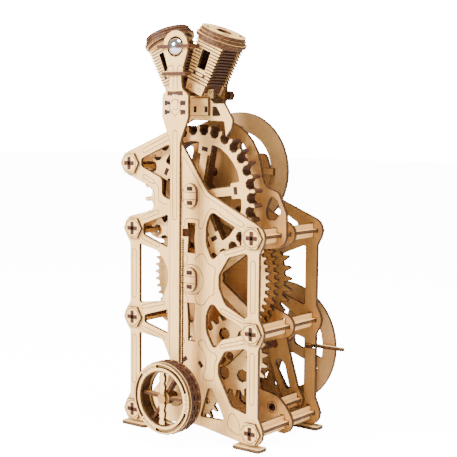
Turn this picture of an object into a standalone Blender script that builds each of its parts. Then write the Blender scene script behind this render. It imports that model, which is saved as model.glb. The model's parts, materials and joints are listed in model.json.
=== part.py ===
"""Wooden mechanical kit: a tower of plywood plates with a V-twin engine, gears and flywheels.

Lengths are in millimetres until a mesh is made. X runs to the right along the front, Y goes
back through the layers and Z goes up. Heights and widths are counted from the middle of the
lowest tie bars, and the finished kit is moved so that it stands on the origin.
"""
from collections import namedtuple
import math

import bmesh
import bpy
from mathutils import Matrix, Vector

MM = 0.001

# Sheet and fits
SHEET = 3.0             # plywood thickness
FIT = 0.3               # gap between pieces that touch
CHORD = 0.35            # largest distance between a true curve and its chord

# Tie bars, their caps and the feet
BAR_WIDTH = 13.0        # width of each of the two crossed blades
BAR_X = 69.7            # side bars, from the middle
BAR_HEIGHTS = (0.0, 89.9, 175.0)
TOP_BAR = (-73.6, 236.4)
BOSS = 12.3             # radius of a plate round a tie bar
HEX_CAP = 11.0          # radius to the corners of a hex cap
LAP = 0.2               # how far pieces of one joined solid run into each other
PROUD = 0.4             # how far peg ends stand out of their caps
FOOT_LENGTH = 30.0
FOOT_WIDTH = 14.0

# Thumb bar in the right column of the back plate
STOP_BAR_X = BAR_X - 3.7
STOP_BAR_Z = 64.0
STOP_BAR_REACH = STOP_BAR_X + 38.0
STOP_BAR_NECK = 5.2
STOP_TRAVEL = 4.0

# Front faces of the layers, from front to back, each a gap behind the layer before it
CAP_Y = 0.0
FRONT_Y = CAP_Y + SHEET
TOOTHED_Y = FRONT_Y + SHEET + 2.5
POCKET_Y = TOOTHED_Y + SHEET + 1.0
BRACKET_Y = POCKET_Y + 2 * SHEET + FIT + 1.2
IDLER_Y = BRACKET_Y + SHEET + 2.0
MAIN_FRONT_Y = IDLER_Y + SHEET + 3.5
BEARING_Y = MAIN_FRONT_Y + SHEET + 2.0
MAIN_REAR_Y = BEARING_Y + SHEET + 5.5
MIDDLE_Y = MAIN_REAR_Y + SHEET + 4.0
COARSE_Y = MIDDLE_Y + SHEET + 9.0
RING_Y = COARSE_Y + SHEET + 9.0
SWING_Y = RING_Y + SHEET + 12.5
BACK_Y = SWING_Y + SHEET + 2.5
REAR_FLYWHEEL_Y = BACK_Y + 2 * SHEET + 3.0

# Gear train
FINE_MODULE = 2.2
MAIN_TEETH = 60
FINE_PINION = 10
FLYWHEEL_PINION = 9
IDLER_TEETH = 23
DRIVE_PINION = 7
COARSE_TEETH = 41
COARSE_TIP = 69.0
COARSE_ROOT = 61.8
TOOTHED_TEETH = 22
TOOTHED_TIP = 31.7
BACKLASH = 0.45
AXLE = 3.2              # radius of every axle
RUNNING = 0.35          # radial gap of an axle in a plate

# Axle places
DRIVE_AXLE = (0.0, 28.7)
IDLER_AXLE = (32.5, 62.4)
MAIN_AXLE = (0.0, 132.0)
POCKET_AXLE = (0.0, MAIN_AXLE[1] + FINE_MODULE * (MAIN_TEETH + FINE_PINION) / 2)
RING_AXLE = (0.0, POCKET_AXLE[1] + FINE_MODULE * (FINE_PINION + FLYWHEEL_PINION) / 2)
SWING_PIN = (58.0, 12.0)

# Pocket wheel and flywheels
POCKETS = 30
POCKET_RADIUS = 5.0
POCKET_STACK = 3 * SHEET        # depth of the rear plate's stack
POCKET_CIRCLE = 60.0
POCKET_TIP = 64.6
PEG_CIRCLE = 43.0
RING_OUTER = 55.5
RING_INNER = 37.0
REAR_OUTER = 60.0
REAR_INNER = 46.0

# Front wheel
TYRE = 33.5
TYRE_INNER = 29.0
RIM_INNER = 25.0
WHEEL_WIDTH = 17.4
HUB = 2 * SHEET + 0.5   # far enough out for two close blades to part
SPOKES = (0, 58, 90, 180, 238, 270)     # degrees from the right, each a blade along the axle

# Fork rail, in front of the caps, and the wheel in front of it
RAIL_Y = CAP_Y - 18.0 - SHEET
WHEEL_Y = RAIL_Y - 0.6 - WHEEL_WIDTH
STRIP = 5.6             # half width of the strip
LAMP_Z = 342.0
LAMP_RING = 14.6
LAMP_BALL = 8.5
LAMP_HOLE = LAMP_BALL + 0.4
RAIL_FOOT = 10.5
SHIELD = 9.0            # half width of the shield under the lamp ring
BRIDGE_Z = 299.7
BRIDGE_DEPTH = SHEET - 0.4
CORD = 1.0              # radius
CORD_FOOT = (5.2, -15.6, 46.0)
CORD_HEAD = (5.6, -15.9, 172.0)

# V-twin engine
LEAN = 22.5
V_POINT = 277.3
ENGINE_Y = 7.3
CYLINDER_DEPTH = 31.0
CYLINDER_FRONT = ENGINE_Y - CYLINDER_DEPTH / 2
CYLINDER_FOOT = 27.0    # along the cylinder, from the V point
CYLINDER_TOP = 72.7
CYLINDER_HALF_TOP = 16.0
CYLINDER_HALF_FOOT = 9.5
COVER_RADII = (21.0, 23.4, 21.6, 20.6)
PISTON = 7.4
PISTON_FOOT = 53.0
PISTON_LENGTH = 9.0
CRANK_Z = 288.0
CRANK_PIN = 1.6         # radius of the hole in the disc
CRANK_DISC = AXLE + FIT + 2 * CRANK_PIN + 1.8
CASE_HALF = 19.0
CASE_FOOT = 281.0
CASE_TOP = 299.5

# Colours (linear)
PALE = (0.82, 0.66, 0.42, 1)
TAN = (0.62, 0.42, 0.22, 1)
BROWN = (0.36, 0.19, 0.08, 1)
BURNT = (0.12, 0.045, 0.02, 1)
STEEL = (0.62, 0.62, 0.6, 1)

Boss = namedtuple("Boss", "x z radius")
Solid = namedtuple("Solid", "loops start depth place")


# Outlines

def turn_points(centre, radius, start, end):
    """Points on an arc, close enough together to look round."""
    step = 2 * math.acos(max(1 - CHORD / max(radius, 0.5), 0.3))
    count = max(1, math.ceil(abs(end - start) / step))
    angles = (start + (end - start) * i / count for i in range(count + 1))
    return [(centre[0] + radius * math.cos(a), centre[1] + radius * math.sin(a)) for a in angles]


def circle(radius, centre=(0.0, 0.0), count=None):
    """A round outline."""
    points = turn_points(centre, radius, 0, 2 * math.pi)[:-1]
    if count is None:
        return points
    return [polar(radius, 360 * i / count, centre) for i in range(count)]


def polar(radius, degrees, centre=(0.0, 0.0)):
    angle = math.radians(degrees)
    return (centre[0] + radius * math.cos(angle), centre[1] + radius * math.sin(angle))


def round_corner(before, corner, after):
    """The arc that rounds a corner given as x, z and radius."""
    point = Vector(corner[:2])
    back = Vector(before[:2]) - point
    on = Vector(after[:2]) - point
    angle = back.angle(on)
    reach = min(corner[2] / math.tan(angle / 2), 0.49 * back.length, 0.49 * on.length)
    radius = reach * math.tan(angle / 2)
    centre = point + (back.normalized() + on.normalized()).normalized() * radius / math.sin(angle / 2)
    first = point + back.normalized() * reach - centre
    last = point + on.normalized() * reach - centre
    start = math.atan2(first.y, first.x)
    sweep = (math.atan2(last.y, last.x) - start + math.pi) % (2 * math.pi) - math.pi
    return turn_points(centre, radius, start, start + sweep)


def tangent_angle(first, second):
    """Direction of the outer tangent from one boss or corner to the next, going round to the left."""
    along = Vector(second[:2]) - Vector(first[:2])
    radii = [item.radius if isinstance(item, Boss) else 0.0 for item in (first, second)]
    return math.atan2(along.y, along.x) + math.asin((radii[0] - radii[1]) / along.length)


def outline(*items):
    """A closed outline, counter-clockwise, through corners (x, z), rounded corners and bosses."""
    path = []
    for i, item in enumerate(items):
        if not isinstance(item, Boss):
            path.append(item)
            continue
        start = tangent_angle(items[i - 1], item) - math.pi / 2
        end = tangent_angle(item, items[(i + 1) % len(items)]) - math.pi / 2
        path += turn_points(item[:2], item.radius, start, start + (end - start) % (2 * math.pi))
    points = []
    for i, item in enumerate(path):
        if len(item) == 3:
            points += round_corner(path[i - 1], item, path[(i + 1) % len(path)])
        else:
            points.append(tuple(item))
    return points


def mirrored(loop):
    return [(-point[0], *point[1:]) for point in reversed(loop)]


def cross(centre, gap=0.0):
    """The crossed-blade section of a tie bar, or the hole that it goes through."""
    arm = BAR_WIDTH / 2 + gap
    half = SHEET / 2 + gap
    corner = [(arm, -half), (arm, half), (half, half), (half, arm)]
    loop = []
    for turn in range(4):
        c, s = math.cos(turn * math.pi / 2), math.sin(turn * math.pi / 2)
        loop += [(x * c - z * s, x * s + z * c) for x, z in corner[:3]]
    return [(centre[0] + x, centre[1] + z) for x, z in loop]


def box_loop(x0, x1, z0, z1, round_by=0.0):
    corners = [(x0, z0), (x1, z0), (x1, z1), (x0, z1)]
    return outline(*[(*corner, round_by) for corner in corners]) if round_by else corners


def turned_box(centre, width, height, degrees):
    """A rectangle about a centre, turned by an angle."""
    c, s = math.cos(math.radians(degrees)), math.sin(math.radians(degrees))
    half = [(-width / 2, -height / 2), (width / 2, -height / 2), (width / 2, height / 2), (-width / 2, height / 2)]
    return [(centre[0] + x * c - z * s, centre[1] + x * s + z * c) for x, z in half]


def stadium(x, z, width, height):
    """An upright capsule."""
    end = (height - width) / 2
    return outline(Boss(x, z - end, width / 2), Boss(x, z + end, width / 2))


def gear(teeth, pitch_radius, addendum, dedendum, first=0.0, flank_points=3):
    """A gear outline with involute flanks and a little backlash."""
    base = pitch_radius * math.cos(math.radians(20))
    pitch_roll = math.sqrt(max((pitch_radius / base) ** 2 - 1, 0))
    pitch_turn = pitch_roll - math.atan(pitch_roll)
    half_tooth = math.pi / (2 * teeth) - BACKLASH / 2 / pitch_radius
    root = pitch_radius - dedendum
    tip = pitch_radius + addendum
    points = []
    for tooth in range(teeth):
        middle = math.radians(first) + 2 * math.pi * tooth / teeth
        flank = []
        for i in range(flank_points):
            radius = root + (tip - root) * i / (flank_points - 1)
            roll = math.sqrt(max((radius / base) ** 2 - 1, 0))
            flank.append((radius, half_tooth + pitch_turn - (roll - math.atan(roll))))
        points += [polar(r, math.degrees(middle - a)) for r, a in flank]
        points += [polar(r, math.degrees(middle + a)) for r, a in reversed(flank)]
    return points


def coarse_teeth():
    """Long narrow teeth with wide gullets."""
    points = []
    pitch = 360 / COARSE_TEETH
    shape = ((COARSE_ROOT, -0.33), (COARSE_TIP, -0.09), (COARSE_TIP, 0.09), (COARSE_ROOT, 0.33))
    for tooth in range(COARSE_TEETH):
        points += [polar(radius, pitch * (tooth + share)) for radius, share in shape]
    return points


def pocket_teeth():
    """A rim of round pockets that open outwards between flat tips."""
    points = []
    pitch = 360 / POCKETS
    for pocket in range(POCKETS):
        middle = polar(POCKET_CIRCLE, pocket * pitch)
        for i in range(6):
            points.append(polar(POCKET_RADIUS, pocket * pitch - 62 - 47.2 * i, middle))
        points.append(polar(POCKET_TIP, (pocket + 0.40) * pitch))
        points.append(polar(POCKET_TIP, (pocket + 0.52) * pitch))
    return points


# Solids and objects

def solid(loops, start, depth=SHEET, place=None):
    """A piece cut from sheet: loops[0] is its outline, the rest its holes, start its front face."""
    return Solid(loops, start, depth, place or Matrix())


def material(name, colour, metallic=0.0, roughness=0.6):
    made = bpy.data.materials.new(name)
    made.use_nodes = True
    shader = made.node_tree.nodes["Principled BSDF"]
    shader.inputs["Base Color"].default_value = colour
    shader.inputs["Roughness"].default_value = roughness
    shader.inputs["Metallic"].default_value = metallic
    made.diffuse_color = colour
    return made


def add_solid(bm, item):
    """Fill a sheet piece's outline and holes, and give it its depth."""
    edges = []
    for loop in item.loops:
        verts = [bm.verts.new((x * MM, item.start * MM, z * MM)) for x, z in loop]
        edges += [bm.edges.new(pair) for pair in zip(verts, verts[1:] + verts[:1])]
    filled = bmesh.ops.triangle_fill(bm, use_beauty=True, edges=edges, normal=(0, -1, 0))
    faces = [part for part in filled["geom"] if isinstance(part, bmesh.types.BMFace)]
    grown = bmesh.ops.extrude_face_region(bm, geom=faces)["geom"]
    moved = [part for part in grown if isinstance(part, bmesh.types.BMVert)]
    bmesh.ops.translate(bm, vec=(0, item.depth * MM, 0), verts=moved)
    corners = moved + [vert for face in faces for vert in face.verts]
    bmesh.ops.transform(bm, matrix=item.place, verts=list(set(corners)))


def solid_mesh(name, item):
    bm = bmesh.new()
    add_solid(bm, item)
    bmesh.ops.recalc_face_normals(bm, faces=bm.faces[:])
    mesh = bpy.data.meshes.new(name)
    bm.to_mesh(mesh)
    bm.free()
    return mesh


def make(name, solids, colour, parent=None):
    """One named object. Where it is made of several sheet pieces, Boolean unions join them."""
    piece = finish(name, solid_mesh(name, solids[0]), material(name, colour), parent)
    for i, item in enumerate(solids[1:], 1):
        glued = finish(f"{name}_joined_{i}", solid_mesh(name, item), material(name, colour), parent)
        glued.hide_render = True
        glued.display_type = "WIRE"
        union = piece.modifiers.new("union", "BOOLEAN")
        union.operation = "UNION"
        union.object = glued
    return piece


def finish(name, data, surface, parent):
    piece = bpy.data.objects.new(name, data)
    data.materials.append(surface)
    bpy.context.collection.objects.link(piece)
    piece.parent = parent or bpy.data.objects["kit"]
    return piece


def axis(name, place, parent=None):
    """An empty on a joint's axis, which holds the pieces that move with it."""
    empty = bpy.data.objects.new(name, None)
    bpy.context.collection.objects.link(empty)
    empty.parent = parent or bpy.data.objects["kit"]
    empty.location = Vector((place[0], 0, place[1])) * MM
    return empty


def moved(x, y, z):
    return Matrix.Translation(Vector((x, y, z)) * MM)


LYING = Matrix.Rotation(math.pi / 2, 4, "X")        # the sheet's depth turns to point up


def lying(x, y, z):
    """A horizontal sheet: its loops' second value runs forwards from y, and its depth goes up from z."""
    return moved(x, y, z) @ LYING


def side_bars():
    return [(side * BAR_X, z) for z in BAR_HEIGHTS for side in (-1, 1)]


def bore(centre):
    return circle(AXLE + RUNNING, centre, 12)


def rod(start, end, radius=AXLE, sides=12):
    return solid([circle(radius, count=sides)], start, end - start)


# Frame

def front_plate_loops():
    """The front plate's outline, with its mast and engine bracket, and its windows."""
    column = BAR_X + 6.5
    inner = BAR_X - 6.0
    edge = outline(
        Boss(-BAR_X, 0, BOSS), (0, -1.5, 90), Boss(BAR_X, 0, BOSS),
        (column, 15, 3), (column, 76, 3), Boss(BAR_X, BAR_HEIGHTS[1], BOSS),
        (column, 104, 3), (column, 161, 3), Boss(BAR_X, BAR_HEIGHTS[2], BOSS),
        (18.7, 212.5, 14), (-12, 256.5, 4), (-13.6, 263, 5), (-9.5, 273, 12), (1, 277.5, 2),
        (36.5, 276.5, 1), (38.5, 263), (44.5, 270, 3), (46, 278, 3), (36.5, 292.5, 1),
        (25, 292.5, 1), (CASE_HALF, CASE_TOP, 1), (-CASE_HALF, CASE_TOP, 1), (-24, 268, 3),
        (-29.3, 267, 3), Boss(*TOP_BAR, 11.8), (-48.3, 214.8, 8), (-44.5, 209.5, 3),
        (-44.5, 197.5, 4), (-48.3, 192.8, 8), Boss(-BAR_X, BAR_HEIGHTS[2], BOSS),
        (-column + 1.5, 161, 3), (-column + 1.5, 104, 3), Boss(-BAR_X, BAR_HEIGHTS[1], BOSS),
        (-column + 1.5, 76, 3), (-column + 1.5, 15, 3))
    windows = [
        outline((-61, 240.8, 2), (-61, 233.8, 2), (-35.3, 223.5, 5), (-35.3, 207.8, 4), (-25.2, 203.5, 2),
                (-25.2, 256, 3)),
        outline((-58.3, 179.5, 2), (-58.3, 169.8, 2), (-28.3, 159.5, 1), (-28.3, 190, 1)),
        outline((1 - inner, 160.5, 1), (1 - inner, 104.5, 1), (-36.3, 108, 4), (-28.5, 126, 12),
                (-28.5, 140, 12), (-40, 155.5, 5)),
        outline((-56.5, 92.8, 2), (-56.5, 86, 2), (-28.3, 78.5, 1), (-28.3, 101, 1)),
        outline((1 - inner, 75.5, 1), (1 - inner, 16, 1), (-47.5, 20, 5), (-25, 46, 6), (-25, 54, 6),
                (-34.3, 72, 4)),
        outline((23, 196, 4), (17, 184, 12), (16.6, 166, 12), (24, 151, 3), (34, 160.5, 5),
                (56.7, 167.8, 2), (56.7, 180, 3), (36, 189.5, 8)),
        outline((42.5, 155.5, 4), (31.7, 139, 6), (31.7, 127, 6), (39, 112.5, 5), (60.7, 102.5, 1),
                (inner, 105, 1), (inner, 159, 1), (60.7, 160.7, 1)),
        outline((24, 114, 4), (17.3, 102, 10), (17.3, 86, 10), (26.5, 70, 3), (36, 80.5, 5),
                (57.5, 87, 2), (57.5, 93.5, 2), (34, 104, 8)),
        outline((38.7, 69.8, 4), (31.7, 57, 5), (31.7, 47.5, 5), (47, 20.5, 5), (inner, 16.3, 1),
                (inner, 73, 1), (60.7, 75, 1)),
        outline((21.7, 38, 3), (11.7, 5.8, 1), (39, 6.5, 1), (34, 17, 3)),
        [(-4.5, 156.5), (4.5, 156.5), (3.4, 170), (4.5, 184), (-4.5, 184), (-3.4, 170)],
        [(-3.2, 75), (4.8, 75), (3.2, 92), (4.6, 110), (-4.6, 110), (-3.2, 92)],
        turned_box((11.5, 54.5), 5.6, 3.3, -50),
        turned_box((-7.2, 57.0), 5.6, 3.3, 35),
        outline((23.5, 281.5, 0.5), (33, 281.5, 1), (27.5, 289.5, 1), (23.5, 289.5, 0.5)),
        turned_box((8.2, 287.2), 3.3, 5.4, 0),
        turned_box((16.2, 287.2), 3.3, 5.4, 0),
    ]
    return edge, windows


def front_plate():
    edge, windows = front_plate_loops()
    holes = [cross(place, FIT) for place in side_bars() + [TOP_BAR]]
    holes += [bore(place) for place in (DRIVE_AXLE, MAIN_AXLE, POCKET_AXLE)]
    make("front_plate", [solid([edge] + windows + holes, FRONT_Y)], PALE)


def bearing_plate():
    """The upper plate behind the pocket wheel, with a lobe round the flywheel axle."""
    right = BAR_X + BOSS - 0.5
    top = BAR_HEIGHTS[2]
    edge = outline(
        Boss(-BAR_X, top, BOSS), (-30, 158, 10), (0, 163, 30), (30, 158, 10), Boss(BAR_X, top, BOSS),
        (right, 195, 6), (72.5, 213.5, 4), (57, 219, 12), Boss(4, 229, 49.5), (-40, 259, 6),
        Boss(*TOP_BAR, 11.8), (-58, 214, 8), (-62, 200, 8))
    windows = [
        outline((60.5, 189, 3), (70, 188.5, 3), (76, 196, 3), (71.5, 206, 3), (65, 210, 2.5), (59.5, 198, 4)),
        outline((-50, 178, 4), (-22, 184, 5), (-30, 205, 6), (-52, 200, 4)),
        outline((50, 178, 4), (48, 194, 4), (26, 200, 5), (22, 184, 5)),
        outline((-46, 232, 4), (-28, 236, 6), (-24, 254, 5), (-34, 252, 4)),
        outline((24, 240, 4), (42, 236, 5), (34, 256, 6), (20, 262, 4)),
    ]
    holes = [cross((side * BAR_X, top), FIT) for side in (-1, 1)] + [cross(TOP_BAR, FIT)]
    holes += [bore(POCKET_AXLE), bore(RING_AXLE)]
    make("upper_bearing_plate", [solid([edge] + windows + holes, BEARING_Y)], TAN)


def middle_plate():
    """A spider with an arm to every tie bar but the highest, and a corner for the swing plate's pin."""
    high, low = BAR_HEIGHTS[2], BAR_HEIGHTS[1]
    edge = outline(
        Boss(-BAR_X, 0, BOSS), (-30, 6, 10), (0, 8, 20), (36, -3, 10), Boss(BAR_X, 0, BOSS - 1),
        (73, 15, 3), Boss(*SWING_PIN, 12.5), (46, 27, 5), (24, 42, 10), (25, 66, 10), Boss(BAR_X, low, BOSS - 1),
        (34, 116, 14), (34, 146, 14), Boss(BAR_X, high, BOSS - 1), (34, 205, 14), (26, 246, 12),
        (-26, 246, 12), (-34, 205, 14), Boss(-BAR_X, high, BOSS - 1), (-34, 146, 14), (-34, 116, 14),
        Boss(-BAR_X, low, BOSS - 1), (-30, 66, 10), (-28, 44, 12))
    windows = [
        outline((14, 70, 4), (22, 80, 4), (20, 104, 5), (8, 112, 4)),
        outline((-14, 70, 4), (-8, 112, 4), (-20, 104, 5), (-22, 80, 4)),
        outline((12, 150, 4), (24, 156, 5), (24, 184, 5), (12, 190, 4)),
        outline((-12, 150, 4), (-12, 190, 4), (-24, 184, 5), (-24, 156, 5)),
        outline((20, 12, 3), (46, 4, 3), (38, 20, 4), (22, 36, 3)),
    ]
    holes = [cross(place, FIT) for place in side_bars()]
    axles = (DRIVE_AXLE, MAIN_AXLE, POCKET_AXLE, RING_AXLE, SWING_PIN)
    holes += [bore(place) for place in axles]
    make("middle_plate", [solid([edge] + windows + holes, MIDDLE_Y)], TAN)


def back_plate():
    """Bosses, columns and sloping struts behind everything but the lower flywheel."""
    column, inner = BAR_X + 6.5, BAR_X - 6.5
    high, low = BAR_HEIGHTS[2], BAR_HEIGHTS[1]
    half = [
        Boss(BAR_X, 0, BOSS), (column, 15, 3), (column, 76, 3), Boss(BAR_X, low, BOSS),
        (column, 104, 3), (column, 161, 3), Boss(BAR_X, high, BOSS), (30, 204, 14), (16, 246, 6)]
    other = [Boss(-item.x, item.z, item.radius) if isinstance(item, Boss) else (-item[0], *item[1:])
             for item in reversed(half)]
    edge = outline((0, -4, 60), *half, *other)
    windows = []
    for side in (1, -1):
        loops = [
            [(inner, 161, 2), (36, 150, 6), (32, 134, 8), (36, 112, 6), (inner, 103, 2)],
            [(inner, 71, 2), (inner, 16, 2), (44, 20, 4), (27, 46.5, 5), (53.5, 73.5, 4)],
            [(54, 172, 2), (54, 181, 3), (20, 200, 4), (14, 178, 8), (18, 156, 4)],
            [(54, 91, 2), (20, 112, 6), (16, 92, 8), (20, 74, 4), (50, 86, 2)],
            [(14, 6, 3), (40, 6, 3), (24, 36, 4), (12, 24, 4)],
        ]
        for loop in loops:
            windows.append(outline(*(loop if side > 0 else mirrored(loop))))
    holes = [cross(place, FIT) for place in side_bars()]
    holes += [bore(place) for place in (IDLER_AXLE, MAIN_AXLE, RING_AXLE, SWING_PIN)]
    holes.append(stop_bar_hole())
    make("back_plate", [solid([edge] + windows + holes, BACK_Y)], BROWN)


def stop_bar_hole():
    return box_loop(STOP_BAR_X - FIT, STOP_BAR_X + STOP_BAR_NECK + STOP_TRAVEL + FIT,
                    STOP_BAR_Z - SHEET / 2 - FIT, STOP_BAR_Z + SHEET / 2 + FIT)


def stop_bar():
    """A flat thumb bar that slides sideways in a slot of the right column."""
    front = BACK_Y - 2.4
    back = BACK_Y + SHEET + 2.4
    loop = [(STOP_BAR_X, front), (STOP_BAR_X + STOP_BAR_NECK, front), (STOP_BAR_X + STOP_BAR_NECK, back - 1.8),
            (STOP_BAR_REACH - 3, back - 1.8), (STOP_BAR_REACH, back - 0.6), (STOP_BAR_REACH, back + 1.4),
            (STOP_BAR_REACH - 3, back + 2.4), (STOP_BAR_X, back + 2.4)]
    flipped = [(x, -y) for x, y in reversed(loop)]
    place = lying(0, 0, STOP_BAR_Z - SHEET / 2)
    make("stop_bar", [solid([flipped], 0, SHEET, place)], TAN, axis("stop_bar_axis", (0, 0)))


def hexagon(place, radius=HEX_CAP):
    return [polar(radius, 60 * i, place) for i in range(6)]


def tie_bars():
    """Crossed-blade bars, each held by a hex cap in front of the front plate and one at the back."""
    names = ("low_left", "low_right", "middle_left", "middle_right", "high_left", "high_right")
    for name, place in zip(names, side_bars()):
        tie_bar(name + "_tie_bar", place, BACK_Y)
    tie_bar("top_left_tie_bar", TOP_BAR, BEARING_Y)


def tie_bar(name, place, last_plate):
    thick = SHEET - FIT
    rear = last_plate + SHEET + FIT
    start = CAP_Y + thick - LAP
    bar = solid([cross(place)], start, rear + LAP - start)
    make(name, [bar, solid([hexagon(place)], CAP_Y, thick), solid([hexagon(place)], rear, thick)], TAN)


def feet():
    """Four flat plates under the corner bosses, front and back."""
    loop = box_loop(-FOOT_LENGTH / 2, FOOT_LENGTH / 2, -FOOT_WIDTH / 2, FOOT_WIDTH / 2, 2.5)
    top = -BOSS - FIT
    for side, side_name in ((-1, "left"), (1, "right")):
        for y, name in ((FRONT_Y, "front"), (BACK_Y, "rear")):
            place = lying(side * (BAR_X - 3), y + SHEET / 2, top - SHEET)
            make(f"{name}_{side_name}_foot", [solid([loop], 0, SHEET, place)], TAN)


def inner_bracket():
    """The small bracket behind a strut of the front plate, which holds the idler axle's front end."""
    edge = outline(Boss(25, 57, 5.5), Boss(46, 76.5, 5.5), Boss(*IDLER_AXLE, 8.5))
    parts = [solid([edge, bore(IDLER_AXLE)], BRACKET_Y)]
    start = FRONT_Y + SHEET + FIT
    for place in ((25, 57), (46, 76.5)):
        parts.append(solid([turned_box(place, 6, SHEET, 43)], start, BRACKET_Y + LAP - start))
    make("inner_bracket", parts, BROWN)


def swing_plate():
    """The two-legged plate between its pin and the back end of the idler axle."""
    edge = outline(Boss(*SWING_PIN, 8.5), (60.5, 23, 4), (52.5, 49, 12), (46.5, 70, 5), (38, 75, 4),
                   Boss(*IDLER_AXLE, 8.5), (27.5, 46, 4), (39, 17, 6), (46, 7, 5))
    windows = [outline((38.5, 49.5, 3), (33.5, 44.5, 2), (46.5, 20.5, 1.5), (51, 20.5, 1.5), (45, 43.5, 4))]
    holes = [bore(IDLER_AXLE), bore(SWING_PIN)]
    make("swing_plate", [solid([edge] + windows + holes, SWING_Y)], BROWN)
    pin = solid([circle(AXLE, SWING_PIN, 12)], MIDDLE_Y - 1, BACK_Y + SHEET + 1 - MIDDLE_Y)
    start = MIDDLE_Y + SHEET + FIT
    make("swing_pin", [pin, solid([cross(SWING_PIN)], start, SWING_Y - FIT - start)], BURNT)


def axle_caps():
    """Capsule plates that close the front ends of two axles, each with two square pegs."""
    for name, (x, z) in (("upper_axle_cap", POCKET_AXLE), ("lower_axle_cap", MAIN_AXLE)):
        parts = [solid([stadium(x, z, 15, 23)], CAP_Y, SHEET - FIT)]
        for lift in (-6.5, 6.5):
            loop = box_loop(x - 2.8, x + 2.8, z + lift - 1.5, z + lift + 1.5)
            parts.append(solid([loop], CAP_Y - PROUD, SHEET - FIT))
        make(name, parts, PALE)


# Fork rail and front wheel

def fork_rail():
    """The lamp ring, shield and block, and the long strip down to the front wheel."""
    neck, block = 7.0, 15.0
    right = [
        Boss(*DRIVE_AXLE, RAIL_FOOT), (STRIP, 48, 6), (STRIP, 258, 20), (block - 2, 275, 8),
        (block, 280, 2), (block, 300, 3), (neck + 1, 305, 3), (neck, 312, 2), (neck, 317, 1),
        (SHIELD, 319, 1), (SHIELD, 324, 6)]
    left = [(-item[0], *item[1:]) for item in reversed(right[1:])]
    edge = outline(*right, Boss(0, LAMP_Z, LAMP_RING), *left)
    slots = [box_loop(x - 2.7, x + 2.7, z - 1.8, z + 1.8) for x in (-9, 9) for z in (284.5, 292.5)]
    bridge_slot = box_loop(-8.5, 8.5, BRIDGE_Z - FIT, BRIDGE_Z + BRIDGE_DEPTH + FIT)
    holes = [circle(LAMP_HOLE, (0, LAMP_Z)), bore(DRIVE_AXLE), bridge_slot]
    make("fork_rail", [solid([edge] + slots + holes, RAIL_Y)], PALE)


def rail_bridge():
    """The flat piece that runs from the rail's slot back to the engine."""
    back = CYLINDER_FRONT - FIT - RAIL_Y
    loop = outline((-8.2, -back, 1), (8.2, -back, 1), (8.2, PROUD), (-8.2, PROUD))
    make("rail_bridge", [solid([loop], 0, BRIDGE_DEPTH, lying(0, RAIL_Y, BRIDGE_Z))], BROWN)


def handlebar_and_yoke():
    """Two lying plates that reach round the rail from its front, each a clear gap from it."""
    front = RAIL_Y - FIT
    side, behind = LAMP_RING + FIT, SHEET + 2 * FIT
    end, back, grip = side + 3.1, behind + 7.9, LAMP_BALL + 1.0
    bar = [(end, 3.2), (-end, 3.2), (-end, -back), (-grip, -back), (-grip, -behind), (-side, -behind),
           (-side, 0), (side, 0), (side, -behind), (grip, -behind), (grip, -back), (end, -back)]
    make("handlebar_plate", [solid([bar], 0, SHEET, lying(0, front, LAMP_Z - SHEET / 2))], BROWN)
    neck = SHIELD + FIT
    yoke = [(neck + 4.2, 2.2), (-neck - 4.2, 2.2), (-neck - 4.2, -6.5), (-neck, -6.5), (-neck, 0),
            (neck, 0), (neck, -6.5), (neck + 4.2, -6.5)]
    make("yoke_plate", [solid([yoke], 0, SHEET, lying(0, front, 316.7))], BROWN)


def lamp_ball():
    """A polished ball behind the lamp ring."""
    bm = bmesh.new()
    bmesh.ops.create_uvsphere(bm, u_segments=16, v_segments=8, radius=LAMP_BALL * MM)
    mesh = bpy.data.meshes.new("lamp_ball")
    bm.to_mesh(mesh)
    bm.free()
    mesh.shade_smooth()
    ball = finish("lamp_ball", mesh, material("lamp_ball", STEEL, 1.0, 0.15), None)
    ball.location = Vector((0, RAIL_Y + SHEET + FIT + LAMP_BALL, LAMP_Z)) * MM


def cord():
    """The twisted cord that runs up beside the rail, from the drive axle's drum to its guide block."""
    data = bpy.data.curves.new("cord", "CURVE")
    data.dimensions = "3D"
    data.bevel_depth = CORD * MM
    data.bevel_resolution = 1
    data.use_fill_caps = True
    spline = data.splines.new("POLY")
    spline.points.add(1)
    for point, place in zip(spline.points, (CORD_FOOT, CORD_HEAD)):
        point.co = (*(value * MM for value in place), 1)
    finish("cord", data, material("cord", BURNT), None)
    x, y, z = CORD_HEAD
    block = box_loop(x - 2.2, x + 2.8, z + 1.4, z + 8.4)
    make("cord_block", [solid([block], y + CORD + 0.5, 4)], BURNT)


def front_wheel(parent):
    """The stacked tyre, two rims, crossed spoke blades and the hub on the drive axle."""
    y0, y1 = WHEEL_Y, WHEEL_Y + WHEEL_WIDTH
    tyre = [circle(TYRE, count=40), circle(TYRE_INNER + FIT, count=32)]
    make("wheel_tyre", [solid(tyre, y0, WHEEL_WIDTH)], BURNT, parent)
    rim = [circle(TYRE_INNER, count=32), circle(RIM_INNER, count=32)]
    for name, y in (("wheel_front_rim", y0 - FIT), ("wheel_rear_rim", y1 - SHEET)):
        make(name, [solid([*rim], y)], PALE, parent)
    reach, corners = RIM_INNER - FIT, []
    for degrees in SPOKES:
        corners += [polar(math.hypot(reach, SHEET / 2), degrees + math.degrees(math.atan2(end, reach)))
                    for end in (-SHEET / 2, SHEET / 2)]
        corners.append(polar(HUB, degrees + math.degrees(math.asin(SHEET / 2 / HUB))))
        following = SPOKES[(SPOKES.index(degrees) + 1) % len(SPOKES)]
        corners.append(polar(HUB, following - math.degrees(math.asin(SHEET / 2 / HUB))))
    loops = [corners, circle(AXLE + FIT, count=12)]
    make("wheel_spokes", [solid(loops, y0 + 2, WHEEL_WIDTH - 4)], TAN, parent)


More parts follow.
